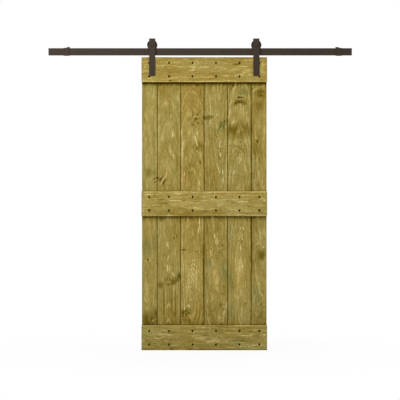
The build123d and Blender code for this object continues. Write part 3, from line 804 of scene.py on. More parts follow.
class Figure:
    """The figure of one board, drawn into its material from the broad noises to the edges.

    Attributes:
        ENDLESS: Half depth of a mark, in millimetres, which goes right through the board.
        upright: Whether its fibres run upright.
        half: Half the board's width across the fibres, in millimetres.
        material: The board's material.
        flat: Place on the board, in millimetres: X across the grain from the board's middle, Z along it.
        wandering: The same place, wandering as the fibres do.
        frayed: The same place, frayed as the edges of marks are.
        noises: The noises by name.
        sums: Tone, fine tone, green share and relief so far, and tone and green share of the marks.
    """

    ENDLESS = 1e6

    def __init__(self, pine: StainedPine, board: Board, photo: Photo, seats: Sequence[Pair]) -> None:
        """Draw the board.

        Args:
            pine: The wood and its stain.
            board: The board's knots, marks and arches.
            photo: The photograph's scale, which places them.
            seats: Place of each screw, across and along the board, in millimetres.
        """
        self.pine = pine
        self.board = board
        self.photo = photo
        self.upright = board.grain is Grain.UPRIGHT
        low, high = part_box(board.node)
        self.half = ((high.x - low.x) if self.upright else (high.z - low.z)) / 2 / MM
        self.material, self.graph = new_material(f"stained_pine_{board.node}")
        mapped = {
            "Vector": self.graph.add("ShaderNodeTexCoord", out="Object"),
            "Location": (low + high) / 2,
            "Rotation": (0.0, board.grain.value, 0.0),
            "Scale": (MM, MM, MM),
        }
        self.flat = self.graph.add("ShaderNodeMapping", mapped, vector_type="TEXTURE")
        self.wandering = self.wander(board.seed, pine.sway, pine.sway_size)
        self.frayed = self.wander(-board.seed, pine.fray, pine.fray_size)
        self.noises: dict[str, Socket] = {}
        self.sums: dict[str, Any] = {
            "tone": pine.middle + board.tone - sum(layer.tone for layer in pine.layers if not layer.fine) / 2,
            "fine": -sum(layer.tone for layer in pine.layers if layer.fine) / 2,
            "green": pine.green + board.green - sum(layer.green for layer in pine.layers) / 2,
            "relief": 0.0, "mark_tone": 0.0, "mark_green": 0.0,
        }

        self.draw_layers()
        self.draw_rings(self.draw_knots())
        self.draw_marks()
        self.draw_edges()
        if self.upright:
            self.draw_pools()
        else:
            self.draw_screw_stains(seats)
        self.finish()

    def wander(self, seed: float, reach: Triple, size: Triple) -> Socket:
        """Let a place on the board wander.

        Args:
            seed: Offset of the wandering.
            reach: How far it goes, in millimetres.
            size: How long each bend is, in millimetres.

        Returns:
            The wandering place.
        """
        add = self.graph.add
        cell = (self.flat, [1 / length for length in size], (seed, -seed, seed))
        cell = add(VECTOR_MATH, cell, operation="MULTIPLY_ADD")
        drift = add(NOISE, {"Vector": cell, "Scale": 1.0, "Detail": self.pine.sway_detail}, out="Color")
        drift = add(VECTOR_MATH, (drift, (NEUTRAL, NEUTRAL, NEUTRAL)), operation="SUBTRACT")
        moved = (drift, [2 * length for length in reach], self.flat)
        return add(VECTOR_MATH, moved, operation="MULTIPLY_ADD")

    def spot(self, mark: Mark) -> Socket:
        """Measure from a mark: 0 at its middle, length 1 at its edge.

        Args:
            mark: The knot, patch or streaks.

        Returns:
            The vector from the mark's middle, in its own half sizes.
        """
        across, along = self.board.across_along(*self.photo.place(mark.column, mark.row))
        mapped = {
            "Vector": self.frayed,
            "Location": (across, 0.0, along),
            "Rotation": (0.0, math.radians(mark.turn), 0.0),
            "Scale": (mark.across, self.ENDLESS, mark.along),
        }
        return self.graph.add("ShaderNodeMapping", mapped, vector_type="TEXTURE")

    def add_up(self, key: str, mask: Socket, weight: float) -> None:
        """Add a weighted mask to one of the sums."""
        if weight:
            self.sums[key] = self.graph.add(MATH, (mask, weight, self.sums[key]), operation="MULTIPLY_ADD")

    def draw_layers(self) -> None:
        """Add the noises up, the fine ones stronger in lively places than in calm ones."""
        add = self.graph.add
        seed = self.board.seed
        for number, layer in enumerate(self.pine.layers):
            cell = (self.wandering, [1 / length for length in layer.size], (seed, seed / 2, number + seed))
            cell = add(VECTOR_MATH, cell, operation="MULTIPLY_ADD")
            noise = {"Vector": cell, "Scale": 1.0, "Detail": layer.detail, "Roughness": layer.rough}
            noise = add(NOISE, noise)
            self.noises[layer.name] = noise
            self.add_up("fine" if layer.fine else "tone", noise, layer.tone)
            self.add_up("green", noise, layer.green)
            self.add_up("relief", noise, layer.relief)
        calm, lively = [share * self.board.busy for share in self.pine.liveliness]
        busy = add(MAP_RANGE, between(self.noises["blotch"], MOST, (calm, lively)))
        tones = (self.sums["fine"], busy, self.sums["tone"])
        self.sums["tone"] = add(MATH, tones, operation="MULTIPLY_ADD")

    def draw_knots(self) -> Socket:
        """Draw the knots: middling heart, dark rim, pale halo where the fibres part.

        Returns:
            How near the closest knot is, from 1 in it to 0 at the end of its reach.
        """
        add = self.graph.add
        stops = [(stop, grey(shade)) for stop, shade in self.pine.knot_stops]
        nearest: Any = 1.0
        for knot in self.board.knots:
            share = add(VECTOR_MATH, [self.spot(knot)], out="Value", operation="LENGTH")
            share = add(MATH, (share, self.pine.knot_reach), operation="DIVIDE")
            nearest = add(MATH, (nearest, share), operation="MINIMUM")
            depth = add(MATH, (add(RAMP, [share], stops=stops), NEUTRAL), operation="SUBTRACT")
            self.add_up("tone", depth, self.pine.knot_tone * knot.tone)
        near = between(nearest, (0.0, 1.0), (1.0, 0.0))
        return add(MAP_RANGE, near, interpolation_type="SMOOTHSTEP")

    def draw_rings(self, knot: Socket) -> None:
        """Draw growth rings about the heart of the tree, swinging round the knots.

        Args:
            knot: How near the closest knot is.
        """
        add = self.graph.add
        pine, board = self.pine, self.board
        heart, _ = board.across_along(*self.photo.place(board.heart, board.heart))
        across, through, along = [add(SPLIT, [self.wandering], out=axis) for axis in range(3)]
        side = add(MATH, (across, heart), operation="SUBTRACT")
        behind = add(MATH, (along, board.heart_tilt, board.heart_depth), operation="MULTIPLY_ADD")
        behind = add(MATH, (behind, through), operation="SUBTRACT")
        spoke = add("ShaderNodeCombineXYZ", (side, behind))
        radius = add(VECTOR_MATH, [spoke], out="Value", operation="LENGTH")
        radius = add(MATH, (knot, pine.knot_bulge, radius), operation="MULTIPLY_ADD")
        rings = add(MATH, (radius, 1 / pine.ring_pitch, self.noises["mottle"]), operation="MULTIPLY_ADD")
        phase = add(MATH, [rings], operation="FRACT")
        line = add(RAMP, [phase], stops=[(stop, grey(shade)) for stop, shade in pine.ring_stops])
        line = add(MATH, (line, NEUTRAL), operation="SUBTRACT")
        show = add(MAP_RANGE, between(self.noises["mottle"], pine.ring_found, pine.ring_shown))
        line = add(MATH, (line, show), operation="MULTIPLY")
        self.add_up("tone", line, pine.ring_tone * board.busy)
        self.add_up("relief", line, pine.ring_relief)

    def draw_marks(self) -> None:
        """Draw the stain patches, streaks and arches, broken up by the specks."""
        add = self.graph.add
        pine, sums = self.pine, self.sums
        pixel = self.photo.metres_per_pixel() / MM
        legs = [leg for arches in self.board.arches for leg in arches.legs(pixel)]
        for mark in (*self.board.marks, *legs):
            spot = self.spot(mark)
            mask = add("ShaderNodeTexGradient", [spot], out="Fac", gradient_type="SPHERICAL")
            edge = pine.crisp_edge if mark.across < pine.thin_mark else pine.soft_edge
            mask = add(MAP_RANGE, between(mask, (0.0, edge)), interpolation_type="SMOOTHSTEP")
            self.add_up("mark_tone", mask, mark.tone)
            self.add_up("mark_green", mask, mark.green)
            if isinstance(mark, Streaks):
                self.add_up("mark_tone", self.strokes(spot, mask, mark), mark.stripe)
        broken = add(MAP_RANGE, between(self.noises["speck"], NEARLY_ALL, pine.mark_broken))
        sums["tone"] = add(MATH, (sums["mark_tone"], broken, sums["tone"]), operation="MULTIPLY_ADD")
        sums["green"] = add(MATH, (sums["mark_green"], sums["green"]), operation="ADD")

    def strokes(self, spot: Socket, mask: Socket, mark: Streaks) -> Socket:
        """Draw the strokes of torn grain in a mark.

        Args:
            spot: Place in the mark, in its own half sizes.
            mask: Where the mark shows.
            mark: The streaks.

        Returns:
            The strokes, from -1 where they are dark to 1 where they are light.
        """
        add = self.graph.add
        pine = self.pine
        cell = (mark.across / mark.pitch, 1.0, mark.along / (mark.pitch * pine.stroke_length))
        cell = (spot, cell, (mark.column, self.board.seed, mark.row))
        cell = add(VECTOR_MATH, cell, operation="MULTIPLY_ADD")
        stroke = add(NOISE, {"Vector": cell, "Scale": pine.stroke_scale, "Detail": pine.stroke_detail})
        stroke = add(MAP_RANGE, between(stroke, MOST, (-1.0, 1.0)))
        return add(MATH, (stroke, mask), operation="MULTIPLY")

    def draw_edges(self) -> None:
        """Draw joint stain and painted shade, painted highlight and shade on batten arrises, and dark end
        grain.
        """
        add = self.graph.add
        pine, half = self.pine, self.half
        side = add(SPLIT, [self.flat], out=0)
        bands = pine.joint_bands if self.upright else pine.arris_bands
        for end, (band, tone) in zip((-half, half - self.board.tongue), bands):
            edge = between(side, (end - math.copysign(band, end), end))
            edge = add(MAP_RANGE, edge, interpolation_type="SMOOTHSTEP")
            self.add_up("tone", edge, tone)

        fibre_axis = (0.0, 0.0, 1.0) if self.upright else (1.0, 0.0, 0.0)
        normal = add("ShaderNodeNewGeometry", out="True Normal")
        facing = add(VECTOR_MATH, (normal, fibre_axis), out="Value", operation="DOT_PRODUCT")
        facing = add(MATH, [facing], operation="ABSOLUTE")
        self.add_up("tone", facing, pine.end_tone)

    def draw_pools(self) -> None:
        """Paint shade along the battens on a plank's front alone, where the battens shade it."""
        add = self.graph.add
        pine = self.pine
        low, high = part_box(self.board.node)
        face = (high.y - low.y) / 2 / MM
        ends, full = pine.pool_depth
        front = add(MAP_RANGE, between(add(SPLIT, [self.flat], out=1), (ends - face, full - face)))
        along = add(SPLIT, [self.flat], out=2)
        for shade_line in pine.pools:
            below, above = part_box(shade_line.batten)
            _, level = self.board.across_along(0.0, above.z if shade_line.above else below.z)
            gap = add(MATH, (along, level), operation="SUBTRACT")
            gap = add(MATH, [gap], operation="ABSOLUTE")
            fade = add(MAP_RANGE, between(gap, (shade_line.reach, shade_line.start)))
            fade = add(MATH, (fade, pine.pool_fall), operation="POWER")
            fade = add(MATH, (fade, front), operation="MULTIPLY")
            self.add_up("tone", fade, shade_line.tone)

    def draw_screw_stains(self, seats: Sequence[Pair]) -> None:
        """Ring every screw head of a batten with stain and painted shade of its countersunk recess.

        The screws are alike on both sides of the batten's middle, so one row or column stands for two.

        Args:
            seats: Place of each screw, across and along the board, in millimetres.
        """
        add = self.graph.add
        rows = sorted({round(abs(across)) for across, _ in seats})
        columns = sorted({round(abs(along), 1) for _, along in seats})
        gaps = []
        for axis, places in ((0, rows), (2, columns)):
            reach = add(MATH, [add(SPLIT, [self.flat], out=axis)], operation="ABSOLUTE")
            nearest = 2 * self.half
            for level in places:
                gap = add(MATH, (reach, level), operation="SUBTRACT")
                gap = add(MATH, [gap], operation="ABSOLUTE")
                nearest = add(MATH, (nearest, gap), operation="MINIMUM")
            gaps.append(nearest)
        half_width, half_height = self.pine.screw_band
        spoke = (add("ShaderNodeCombineXYZ", gaps), (1 / half_height, 1 / half_width, 1.0))
        spoke = add(VECTOR_MATH, spoke, operation="MULTIPLY")
        ring = add(VECTOR_MATH, [spoke], out="Value", operation="LENGTH")
        ring = between(ring, (1.0, self.pine.screw_core))
        ring = add(MAP_RANGE, ring, interpolation_type="SMOOTHSTEP")
        self.add_up("tone", ring, self.pine.screw_tone)

    def finish(self) -> None:
        """Turn the sums into colour, gloss and raised grain."""
        add = self.graph.add
        pine, sums = self.pine, self.sums
        gold, olive = [
            add(RAMP, [sums["tone"]], stops=[(stop, linear(code)) for stop, code in stain])
            for stain in (pine.gold, pine.olive)
        ]
        mixed = {"Factor": sums["green"], MIX_A: gold, MIX_B: olive}
        depth = pine.relief_depth * MM
        bump = {"Height": sums["relief"], "Strength": pine.relief_strength, "Distance": depth}
        shader = {
            "Base Color": add("ShaderNodeMix", mixed, out=MIX_RESULT, data_type="RGBA", clamp_factor=True),
            "Roughness": add(MAP_RANGE, between(sums["tone"], pine.gloss_tones, pine.roughness)),
            "Specular IOR Level": pine.specular,
            "Normal": add("ShaderNodeBump", bump),
        }
        add("ShaderNodeOutputMaterial", [add("ShaderNodeBsdfPrincipled", shader)])


@dataclass(frozen=True)
class Coating:
    """A painted, plated, ground or moulded surface with a fine grain and a broad shift of shade.

    Lengths are in millimetres.

    Attributes:
        name: The material's name.
        light: Its lighter shade.
        dark: Its darker shade.
        specular: Strength of its mirror light, 0.5 being that of plain plastic.
        roughness: Its middle roughness.
        gloss_shift: How far the roughness strays.
        grit: Width of its fine grain.
        grit_depth: Height of that grain.
        cloud: Width of its shade's clouds.
        metallic: 1 for bare metal, 0 for paint and rubber.
        cloud_detail: How many finer octaves the clouds hold.
        grit_detail: How many finer octaves the grain holds.
        octave: How strong those octaves are.
        grit_share: How far the grain shifts the shade, beside the clouds.
        grit_strength: How much of the grain's height shows.
    """

    name: str
    light: str
    dark: str
    specular: float
    roughness: float
    gloss_shift: float
    grit: float
    grit_depth: float
    cloud: float
    metallic: float = 0.0
    cloud_detail: float = 3.0
    grit_detail: float = 2.0
    octave: float = 0.6
    grit_share: float = 0.5
    grit_strength: float = 0.5

    def material(self) -> bpy.types.Material:
        """Make the surface's material.

        Returns:
            The material.
        """
        made, graph = new_material(self.name)
        add = graph.add
        place = {"Vector": add("ShaderNodeTexCoord", out="Object"), "Roughness": self.octave}
        cloud, grit = [
            add(NOISE, {**place, "Scale": 1 / (size * MM), "Detail": detail})
            for size, detail in ((self.cloud, self.cloud_detail), (self.grit, self.grit_detail))
        ]
        blend = add(MAP_RANGE, between(cloud, NEARLY_ALL))
        blend = add(MATH, (grit, self.grit_share, blend), operation="MULTIPLY_ADD")
        blend = add(MATH, (blend, self.grit_share / 2), operation="SUBTRACT")
        mixed = {"Factor": blend, MIX_A: linear(self.dark), MIX_B: linear(self.light)}
        gloss = (self.roughness - self.gloss_shift, self.roughness + self.gloss_shift)
        bump = {"Height": grit, "Strength": self.grit_strength, "Distance": self.grit_depth * MM}
        shader = {
            "Base Color": add("ShaderNodeMix", mixed, out=MIX_RESULT, data_type="RGBA", clamp_factor=True),
            "Metallic": self.metallic,
            "Specular IOR Level": self.specular,
            "Roughness": add(MAP_RANGE, between(cloud, NEARLY_ALL, gloss)),
            "Normal": add("ShaderNodeBump", bump),
        }
        add("ShaderNodeOutputMaterial", [add("ShaderNodeBsdfPrincipled", shader)])
        return made


# Powder coat is baked on: an even dark bronze with a fine orange peel, drawn coarse enough to show
POWDER_COAT = Coating(
    "bronze_powder_coat", "#392e24", "#30261d", specular=0.18, roughness=0.58, gloss_shift=0.07,
    grit=2.6, grit_depth=0.12, cloud=90.0,
)
# Bronze plating on bolts and nuts is thinner and a little glossier than the coat on the bars
BRONZE_PLATING = Coating(
    "bronze_plated_steel", "#342a20", "#292018", specular=0.25, roughness=0.5, gloss_shift=0.08,
    grit=1.4, grit_depth=0.05, cloud=22.0,
)
# Phosphated wood screws are near black and dull
BLACK_PHOSPHATE = Coating(
    "black_phosphate_steel", "#100c08", "#080604", specular=0.05, roughness=0.64,
    gloss_shift=0.08, grit=1.2, grit_depth=0.04, cloud=9.0,
)
# Ground bearing steel is bright, with faint grinding marks
GROUND_STEEL = Coating(
    "ground_bearing_steel", "#b8b5ae", "#96938d", metallic=1.0, specular=0.5, roughness=0.3, gloss_shift=0.08,
    grit=0.8, grit_depth=0.02, cloud=12.0,
)
# Moulded nitrile rubber is black and dry
NITRILE_RUBBER = Coating(
    "nitrile_rubber", "#201e1c", "#151412", specular=0.2, roughness=0.78, gloss_shift=0.06,
    grit=1.6, grit_depth=0.08, cloud=14.0,
)


# A point of a section: radius, place along +Y, thread depth and flat distance
Point = tuple[float, float, float, float]

# Half the angle of a hexagon's side, the cone that eases its corners and where that cone starts on its face
HALF_SIDE = math.pi / 6
CONE = math.radians(30)
CONE_START_SHARE = 0.97
CONE_SHARES = (0.0, 0.25, 0.5, 0.75, 1.0)
EASE_STEPS = 4
ROWS_IN_A_PITCH = 8


@dataclass(frozen=True)
class TurnedProfile:
    """Half section of a turned piece: radius and distance along the axis, in metres, from front to back.

    Attributes:
        points: Its points. A thread depth over 0 cuts a thread there, and a flat distance over 0 mills flats
            at that distance from the axis.
        sides: How many flats are milled.
        pitch: Thread pitch, in metres.
        segments: Facets in one turn.
    """

    points: tuple[Point, ...]
    sides: int = 6
    pitch: float = 1.0
    segments: int = 48


class TurnedTree:
    """Geometry Nodes that turn a half section about Y and set a copy at each point of a mesh."""

    INPUTS = (
        ("Profile", "NodeSocketObject"),
        ("Segments", "NodeSocketInt"),
        ("Flat Sides", "NodeSocketInt"),
        ("Thread Pitch", "NodeSocketFloat"),
        ("Finish", "NodeSocketMaterial"),
    )
    COLUMNS = ("radius", "reach", "thread", "flat")
    SEAM = 0.002 * MM

    def __init__(self) -> None:
        """Build the tree once, for every turned piece."""
        self.tree = bpy.data.node_groups.new("turned_piece", "GeometryNodeTree")
        interface = self.tree.interface
        interface.new_socket("Seats", in_out="INPUT", socket_type="NodeSocketGeometry")
        self.identifiers = {
            name: interface.new_socket(name, in_out="INPUT", socket_type=kind).identifier
            for name, kind in self.INPUTS
        }
        interface.new_socket("Pieces", in_out="OUTPUT", socket_type="NodeSocketGeometry")
        self._wire()

    def _wire(self) -> None:
        """Lay out the nodes."""
        add = Graph(self.tree).add
        given = {name: add("NodeGroupInput", out=name) for name in ("Seats", *dict(self.INPUTS))}
        section = add("GeometryNodeObjectInfo", {"Object": given["Profile"]}, out="Geometry")
        rows = add("GeometryNodeAttributeDomainSize", [section], out="Point Count", component="MESH")
        columns = add(MATH, (given["Segments"], 1), operation="ADD")
        sheet = {"Size X": 1.0, "Size Y": 1.0, "Vertices X": columns, "Vertices Y": rows}
        sheet = add("GeometryNodeMeshGrid", sheet, out="Mesh")

        # Each row of the sheet is a point of the section, each column an angle, and both run from 0 to 1
        where = add("GeometryNodeInputPosition")
        turn, row = [add(MATH, (add(SPLIT, [where], out=axis), 0.5), operation="ADD") for axis in range(2)]
        angle = add(MATH, (turn, math.tau), operation="MULTIPLY")
        last = add(MATH, (rows, 1), operation="SUBTRACT")
        row = add(MATH, [add(MATH, (row, last), operation="MULTIPLY")], operation="ROUND")
        sampled = {}
        for name in self.COLUMNS:
            value = add("GeometryNodeInputNamedAttribute", {"Name": name}, data_type="FLOAT")
            sample = {"Geometry": section, "Value": value, "Index": row}
            sampled[name] = add("GeometryNodeSampleIndex", sample, domain="POINT")

        # Thread: a groove that climbs one pitch in each turn
        climb = add(MATH, (sampled["reach"], given["Thread Pitch"]), operation="DIVIDE")
        climb = add(MATH, (climb, turn), operation="SUBTRACT")
        groove = add(MATH, (climb, 0.5), operation="PINGPONG")
        groove = add(MATH, (groove, sampled["thread"]), operation="MULTIPLY")
        radius = add(MATH, (groove, -2.0, sampled["radius"]), operation="MULTIPLY_ADD")

        # Flats: the radius is cut back to a regular polygon where the section asks for it
        step = add(MATH, (math.tau, given["Flat Sides"]), operation="DIVIDE")
        lean = add(MATH, (angle, step), operation="MODULO")
        lean = add(MATH, (step, -0.5, lean), operation="MULTIPLY_ADD")
        flat = add(MATH, [lean], operation="COSINE")
        flat = add(MATH, (sampled["flat"], flat), operation="DIVIDE")
        cut = add(MATH, (radius, flat), operation="SUBTRACT")
        cut = add(MATH, (cut, 0.0), operation="MAXIMUM")
        milled = add(MATH, (sampled["flat"], 0.0), operation="GREATER_THAN")
        cut = add(MATH, (cut, milled), operation="MULTIPLY")
        radius = add(MATH, (radius, cut), operation="SUBTRACT")

        spoke = [add(MATH, [angle], operation=kind) for kind in ("COSINE", "SINE")]
        right, up = [add(MATH, (radius, share), operation="MULTIPLY") for share in spoke]
        turned = add("ShaderNodeCombineXYZ", (right, sampled["reach"], up))
        piece = add("GeometryNodeSetPosition", {"Geometry": sheet, "Position": turned})
        piece = add("GeometryNodeMergeByDistance", {"Geometry": piece, "Distance": self.SEAM})
        placed = add("GeometryNodeInstanceOnPoints", {"Points": given["Seats"], "Instance": piece})
        placed = add("GeometryNodeRealizeInstances", {"Geometry": placed})
        finished = add("GeometryNodeSetMaterial", {"Geometry": placed, "Material": given["Finish"]})
        add("NodeGroupOutput", [finished])

    def turn(
        self, name: str, profile: TurnedProfile, seats: Iterable[Vector], finish: bpy.types.Material
    ) -> bpy.types.Object:
        """Turn one kind of piece and set it at its seats.

        Args:
            name: The new piece's name.
            profile: Its half section.
            seats: Where each copy's axis starts.
            finish: Its material.

        Returns:
            One plain mesh object at the origin that holds every copy.
        """
        section = bpy.data.meshes.new(f"{name}_section")
        section.from_pydata([(point[0], point[1], 0.0) for point in profile.points], [], [])
        for number, key in enumerate(self.COLUMNS):
            attribute = section.attributes.new(key, "FLOAT", "POINT")
            attribute.data.foreach_set("value", [point[number] for point in profile.points])
        template = put(f"{name}_template", section)
        seat_mesh = bpy.data.meshes.new(f"{name}_seats")
        seat_mesh.from_pydata([tuple(seat) for seat in seats], [], [])
        carrier = put(f"{name}_carrier", seat_mesh)
        modifier = carrier.modifiers.new("turned", "NODES")
        modifier.node_group = self.tree
        values = (template, profile.segments, profile.sides, profile.pitch, finish)
        for (key, _), value in zip(self.INPUTS, values):
            modifier[self.identifiers[key]] = value
        evaluated = carrier.evaluated_get(bpy.context.evaluated_depsgraph_get())
        mesh = bpy.data.meshes.new_from_object(evaluated)
        carrier.modifiers.remove(modifier)
        for helper in (template, carrier):
            bpy.data.objects.remove(helper)
        return finish_mesh(name, mesh)


def finish_mesh(name: str, mesh: bpy.types.Mesh, crease: float = 35.0) -> bpy.types.Object:
    """Close, turn outwards and smooth a mesh, and put it in the scene.

    Args:
        name: The object's name.
        mesh: Its mesh, in the row frame.
        crease: Angle from which an edge shows as a crease, in degrees.

    Returns:
        The new object.
    """
    shell = bmesh.new()
    shell.from_mesh(mesh)
    bmesh.ops.remove_doubles(shell, verts=shell.verts, dist=MERGE_DISTANCE)
    bmesh.ops.dissolve_degenerate(shell, edges=shell.edges, dist=MERGE_DISTANCE)
    bmesh.ops.recalc_face_normals(shell, faces=shell.faces)
    shell.to_mesh(mesh)
    shell.free()
    mesh.shade_smooth()
    mesh.set_sharp_from_angle(angle=math.radians(crease))
    return put(name, mesh)


def settle(piece: bpy.types.Object, body: str, slot: str, *nodes: str) -> None:
    """Tie a new piece to its body and hide the solids that it stands for.

    Args:
        piece: The new piece.
        body: The body that it rides on.
        slot: Name of a material slot; not used.
        nodes: The solids that it replaces.
    """
    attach(piece, body)
    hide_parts(*nodes)
    log.info("%s: %d faces, rides on %s", piece.name, len(piece.data.polygons), body)


def quarter_turn(steps: int) -> list[float]:
    """Divide a quarter of a turn into steps."""
    return [math.pi / 2 * number / steps for number in range(steps + 1)]


def plain(radius: float, reach: float, flat: float = 0.0) -> Point:
    """Give a point of a section that has no thread."""
    return radius, reach, 0.0, flat


def threaded(radius: float, start: float, end: float, pitch: float, depth: float) -> list[Point]:
    """Lay out the close rows that a thread needs.

    Args:
        radius: Radius over the thread's crests.
        start: Where the thread starts along the axis.
        end: Where it ends.
        pitch: Thread pitch.
        depth: Depth of the groove.

    Returns:
        Points of the section, with the thread running in and out over half a pitch.
    """
    count = max(2, round((end - start) / pitch * ROWS_IN_A_PITCH))
    rows = []
    for number in range(count + 1):
        reach = start + (end - start) * number / count
        fade = min(1.0, (reach - start) / pitch * 2, (end - reach) / pitch * 2)
        rows.append((radius, reach, depth * max(0.0, fade), 0.0))
    return rows


def ring(inner: float, outer: float, front: float, back: float, ease: float) -> TurnedProfile:
    """Give the section of a plain ring with eased outer edges.

    Args:
        inner: Bore radius.
        outer: Outer radius.
        front: Front face along the axis.
        back: Back face along the axis.
        ease: Width of the easing on the outer edges.

    Returns:
        Its closed half section.
    """
    corner = [
        (outer - ease + ease * math.sin(turn), front + ease - ease * math.cos(turn))
        for turn in quarter_turn(EASE_STEPS)
    ]
    far_corner = [(radius, front + back - reach) for radius, reach in reversed(corner)]
    loop = [(inner, front), *corner, *far_corner, (inner, back), (inner, front)]
    return TurnedProfile(tuple(plain(*place) for place in loop))


def hexagon_section(flats: float, height: float, bore: float, both: bool) -> list[Point]:
    """Give the half section of a hexagonal head or nut, with the cone that eases its corners.

    Args:
        flats: Width across the flats.
        height: Height from the front to the back.
        bore: Radius at which the section starts and ends.
        both: Whether the back has a cone too.

    Returns:
        The open section from the front to the back.
    """
    middle = flats / 2
    corner = middle / math.cos(HALF_SIDE)
    drop = (corner - middle) * math.tan(CONE)
    cone = [(middle * CONE_START_SHARE, 0.0)]
    cone += [(middle + (corner - middle) * share, drop * share) for share in CONE_SHARES]
    rows = [plain(bore, 0.0)]
    rows += [plain(radius, fall, middle if radius > middle else 0.0) for radius, fall in cone]
    if both:
        cone.reverse()
        rows += [plain(radius, height - fall, middle if radius > middle else 0.0) for radius, fall in cone]
    else:
        rows.append(plain(corner, height, middle))
    rows.append(plain(bore, height))
    return rows


@dataclass(frozen=True)
class CountersunkScrew:
    """A countersunk screw with a coarse thread and a point. Lengths are in millimetres.

    Attributes:
        shank: Radius of its plain shank.
        crest: Radius over its thread.
        root: Radius where its thread runs out into its point.
        pitch: Thread pitch.
        thread_depth: Depth of its thread.
        runout: Length over which the thread runs out.
        point: Length of its point.
        drive: Width of its drive across the flats.
        drive_depth: Depth of that drive.
        segments: Facets round it.
        neck: Length over which the shank runs down to the root, or 0 where the thread starts on the shank.
        drive_sides: Sides of the drive.
        drive_taper_share: Width at the drive's bottom as a share of its width at the top.
    """

    shank: float
    crest: float
    root: float
    pitch: float
    thread_depth: float
    runout: float
    point: float
    drive: float
    drive_depth: float
    segments: int
    neck: float = 0.0
    drive_sides: int = 6
    drive_taper_share: float = 1.0

    def profile(self, box: Box, start: float) -> TurnedProfile:
        """Give the screw's section: drive, head, shank, thread and point.

        Args:
            box: Corners of the screw's solid.
            start: Where the thread starts along the axis, in metres.

        Returns:
            Its half section.
        """
        head, end = round_size(box)
        flat = self.drive * MM / 2
        corner = flat / math.cos(math.pi / self.drive_sides)
        bottom, taper = self.drive_depth * MM, self.drive_taper_share
        shank, root, pitch = self.shank * MM, self.root * MM, self.pitch * MM
        thread_end = end - self.point * MM
        points = [
            plain(0.0, bottom),
            plain(corner * taper, bottom, flat * taper),
            plain(corner, 0.0, flat),
            plain(head, 0.0),
            plain(shank, head - shank),
            plain(shank, start - self.neck * MM),
            *([plain(root, start)] if self.neck else []),
            *threaded(self.crest * MM, start, thread_end, pitch, self.thread_depth * MM),
            plain(root, thread_end + self.runout * MM),
            plain(0.0, end),
        ]
        return TurnedProfile(tuple(points), self.drive_sides, pitch, self.segments)


class Side(StrEnum):
    """A side of the door, as the names of its pieces start."""

    LEFT = "left"
    RIGHT = "right"


@dataclass
class Assembly:
    """Pieces of the door that are made together.

    Attributes:
        nodes: The carried-over solids.
        turner: The tree that turns pieces.
        looks: The finishes by name.
    """

    nodes: Mapping[str, bpy.types.Object]
    turner: TurnedTree
    looks: Mapping[str, bpy.types.Material]

    def build(self) -> None:
        """Make the new pieces and settle them."""

    def dress(self) -> None:
        """Give the carried-over solids their finishes."""


@dataclass
class Track(Assembly):
    """The bar on the wall with its standoffs, wall screws and end stops. Lengths are in millimetres.

    Attributes:
        standoff_bore: Radius of a standoff's bore.
        standoff_ease: Easing of its ends.
        wall_screw: The screws through the standoffs.
        grub_pitch: Thread pitch of a stop's set screw.
        grub_thread_depth: Depth of that thread.
        grub_ease: Easing of its ends, and depth of its cup.
        grub_cup_share: Radius of its cup as a share of its own.
        grub_socket: Width of its socket across the flats.
        grub_socket_depth: Depth of that socket.
        grub_segments: Facets round it.
    """

    standoff_bore: float = 4.4
    standoff_ease: float = 0.8
    wall_screw: CountersunkScrew = CountersunkScrew(
        shank=3.6, crest=4.0, root=3.0, pitch=3.2, thread_depth=1.0, runout=0.5, point=8.0, drive=5.0,
        drive_depth=2.6, segments=36, neck=1.0,
    )
    grub_pitch: float = 1.0
    grub_thread_depth: float = 0.55
    grub_ease: float = 0.4
    grub_cup_share: float = 0.45
    grub_socket: float = 3.0
    grub_socket_depth: float = 3.5
    grub_segments: int = 36

    def build(self) -> None:
        """Make the standoffs, wall screws and set screws, and settle them on the track."""
        names = sorted(name for name in self.nodes if name.startswith("standoff_"))
        boxes = [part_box(name) for name in names]
        radius, length = round_size(boxes[0])
        profile = ring(self.standoff_bore * MM, radius, 0.0, length, self.standoff_ease * MM)
        piece = self.turner.turn("rail_standoffs", profile, front_seats(boxes), self.looks["coat"])
        settle(piece, "track", "track_steel", *names)

        # The wall is at Y = 0, and a wall screw's thread starts there
        boxes = solid_boxes(self.nodes["wall_screws"])
        profile = self.wall_screw.profile(boxes[0], -boxes[0][0].y)
        piece = self.turner.turn("rail_wall_screws", profile, front_seats(boxes), self.looks["coat"])
        settle(piece, "track", "bolt_steel", "wall_screws")

        names = [f"{side}_stop_screws" for side in Side]
        boxes = [box for name in names for box in solid_boxes(self.nodes[name])]
        profile = self.set_screw(boxes[0])
        piece = self.turner.turn("stop_set_screws", profile, front_seats(boxes), self.looks["black"])
        settle(piece, "track", "bolt_steel", *names)

    def set_screw(self, box: Box) -> TurnedProfile:
        """Give the section of a socket set screw whose cup end bears on the bar.

        Args:
            box: Corners of the screw's solid.

        Returns:
            Its half section.
        """
        radius, length = round_size(box)
        flat = self.grub_socket * MM / 2
        corner = flat / math.cos(HALF_SIDE)
        bottom = length - self.grub_socket_depth * MM
        ease, pitch = self.grub_ease * MM, self.grub_pitch * MM
        points = [
            plain(0.0, ease),
            plain(radius * self.grub_cup_share, 0.0),
            plain(radius - ease, 0.0),
            *threaded(radius, ease, length - ease, pitch, self.grub_thread_depth * MM),
            plain(radius - ease, length),
            plain(corner, length, flat),
            plain(corner, bottom, flat),
            plain(0.0, bottom),
        ]
        return TurnedProfile(tuple(points), pitch=pitch, segments=self.grub_segments)

    def dress(self) -> None:
        """Give the bar, collars and pads their finishes."""
        dress(self.nodes["rail"], self.looks["coat"])
        for side in Side:
            dress(self.nodes[f"{side}_stop_collar"], self.looks["coat"])
            dress(self.nodes[f"{side}_stop_pad"], self.looks["rubber"])


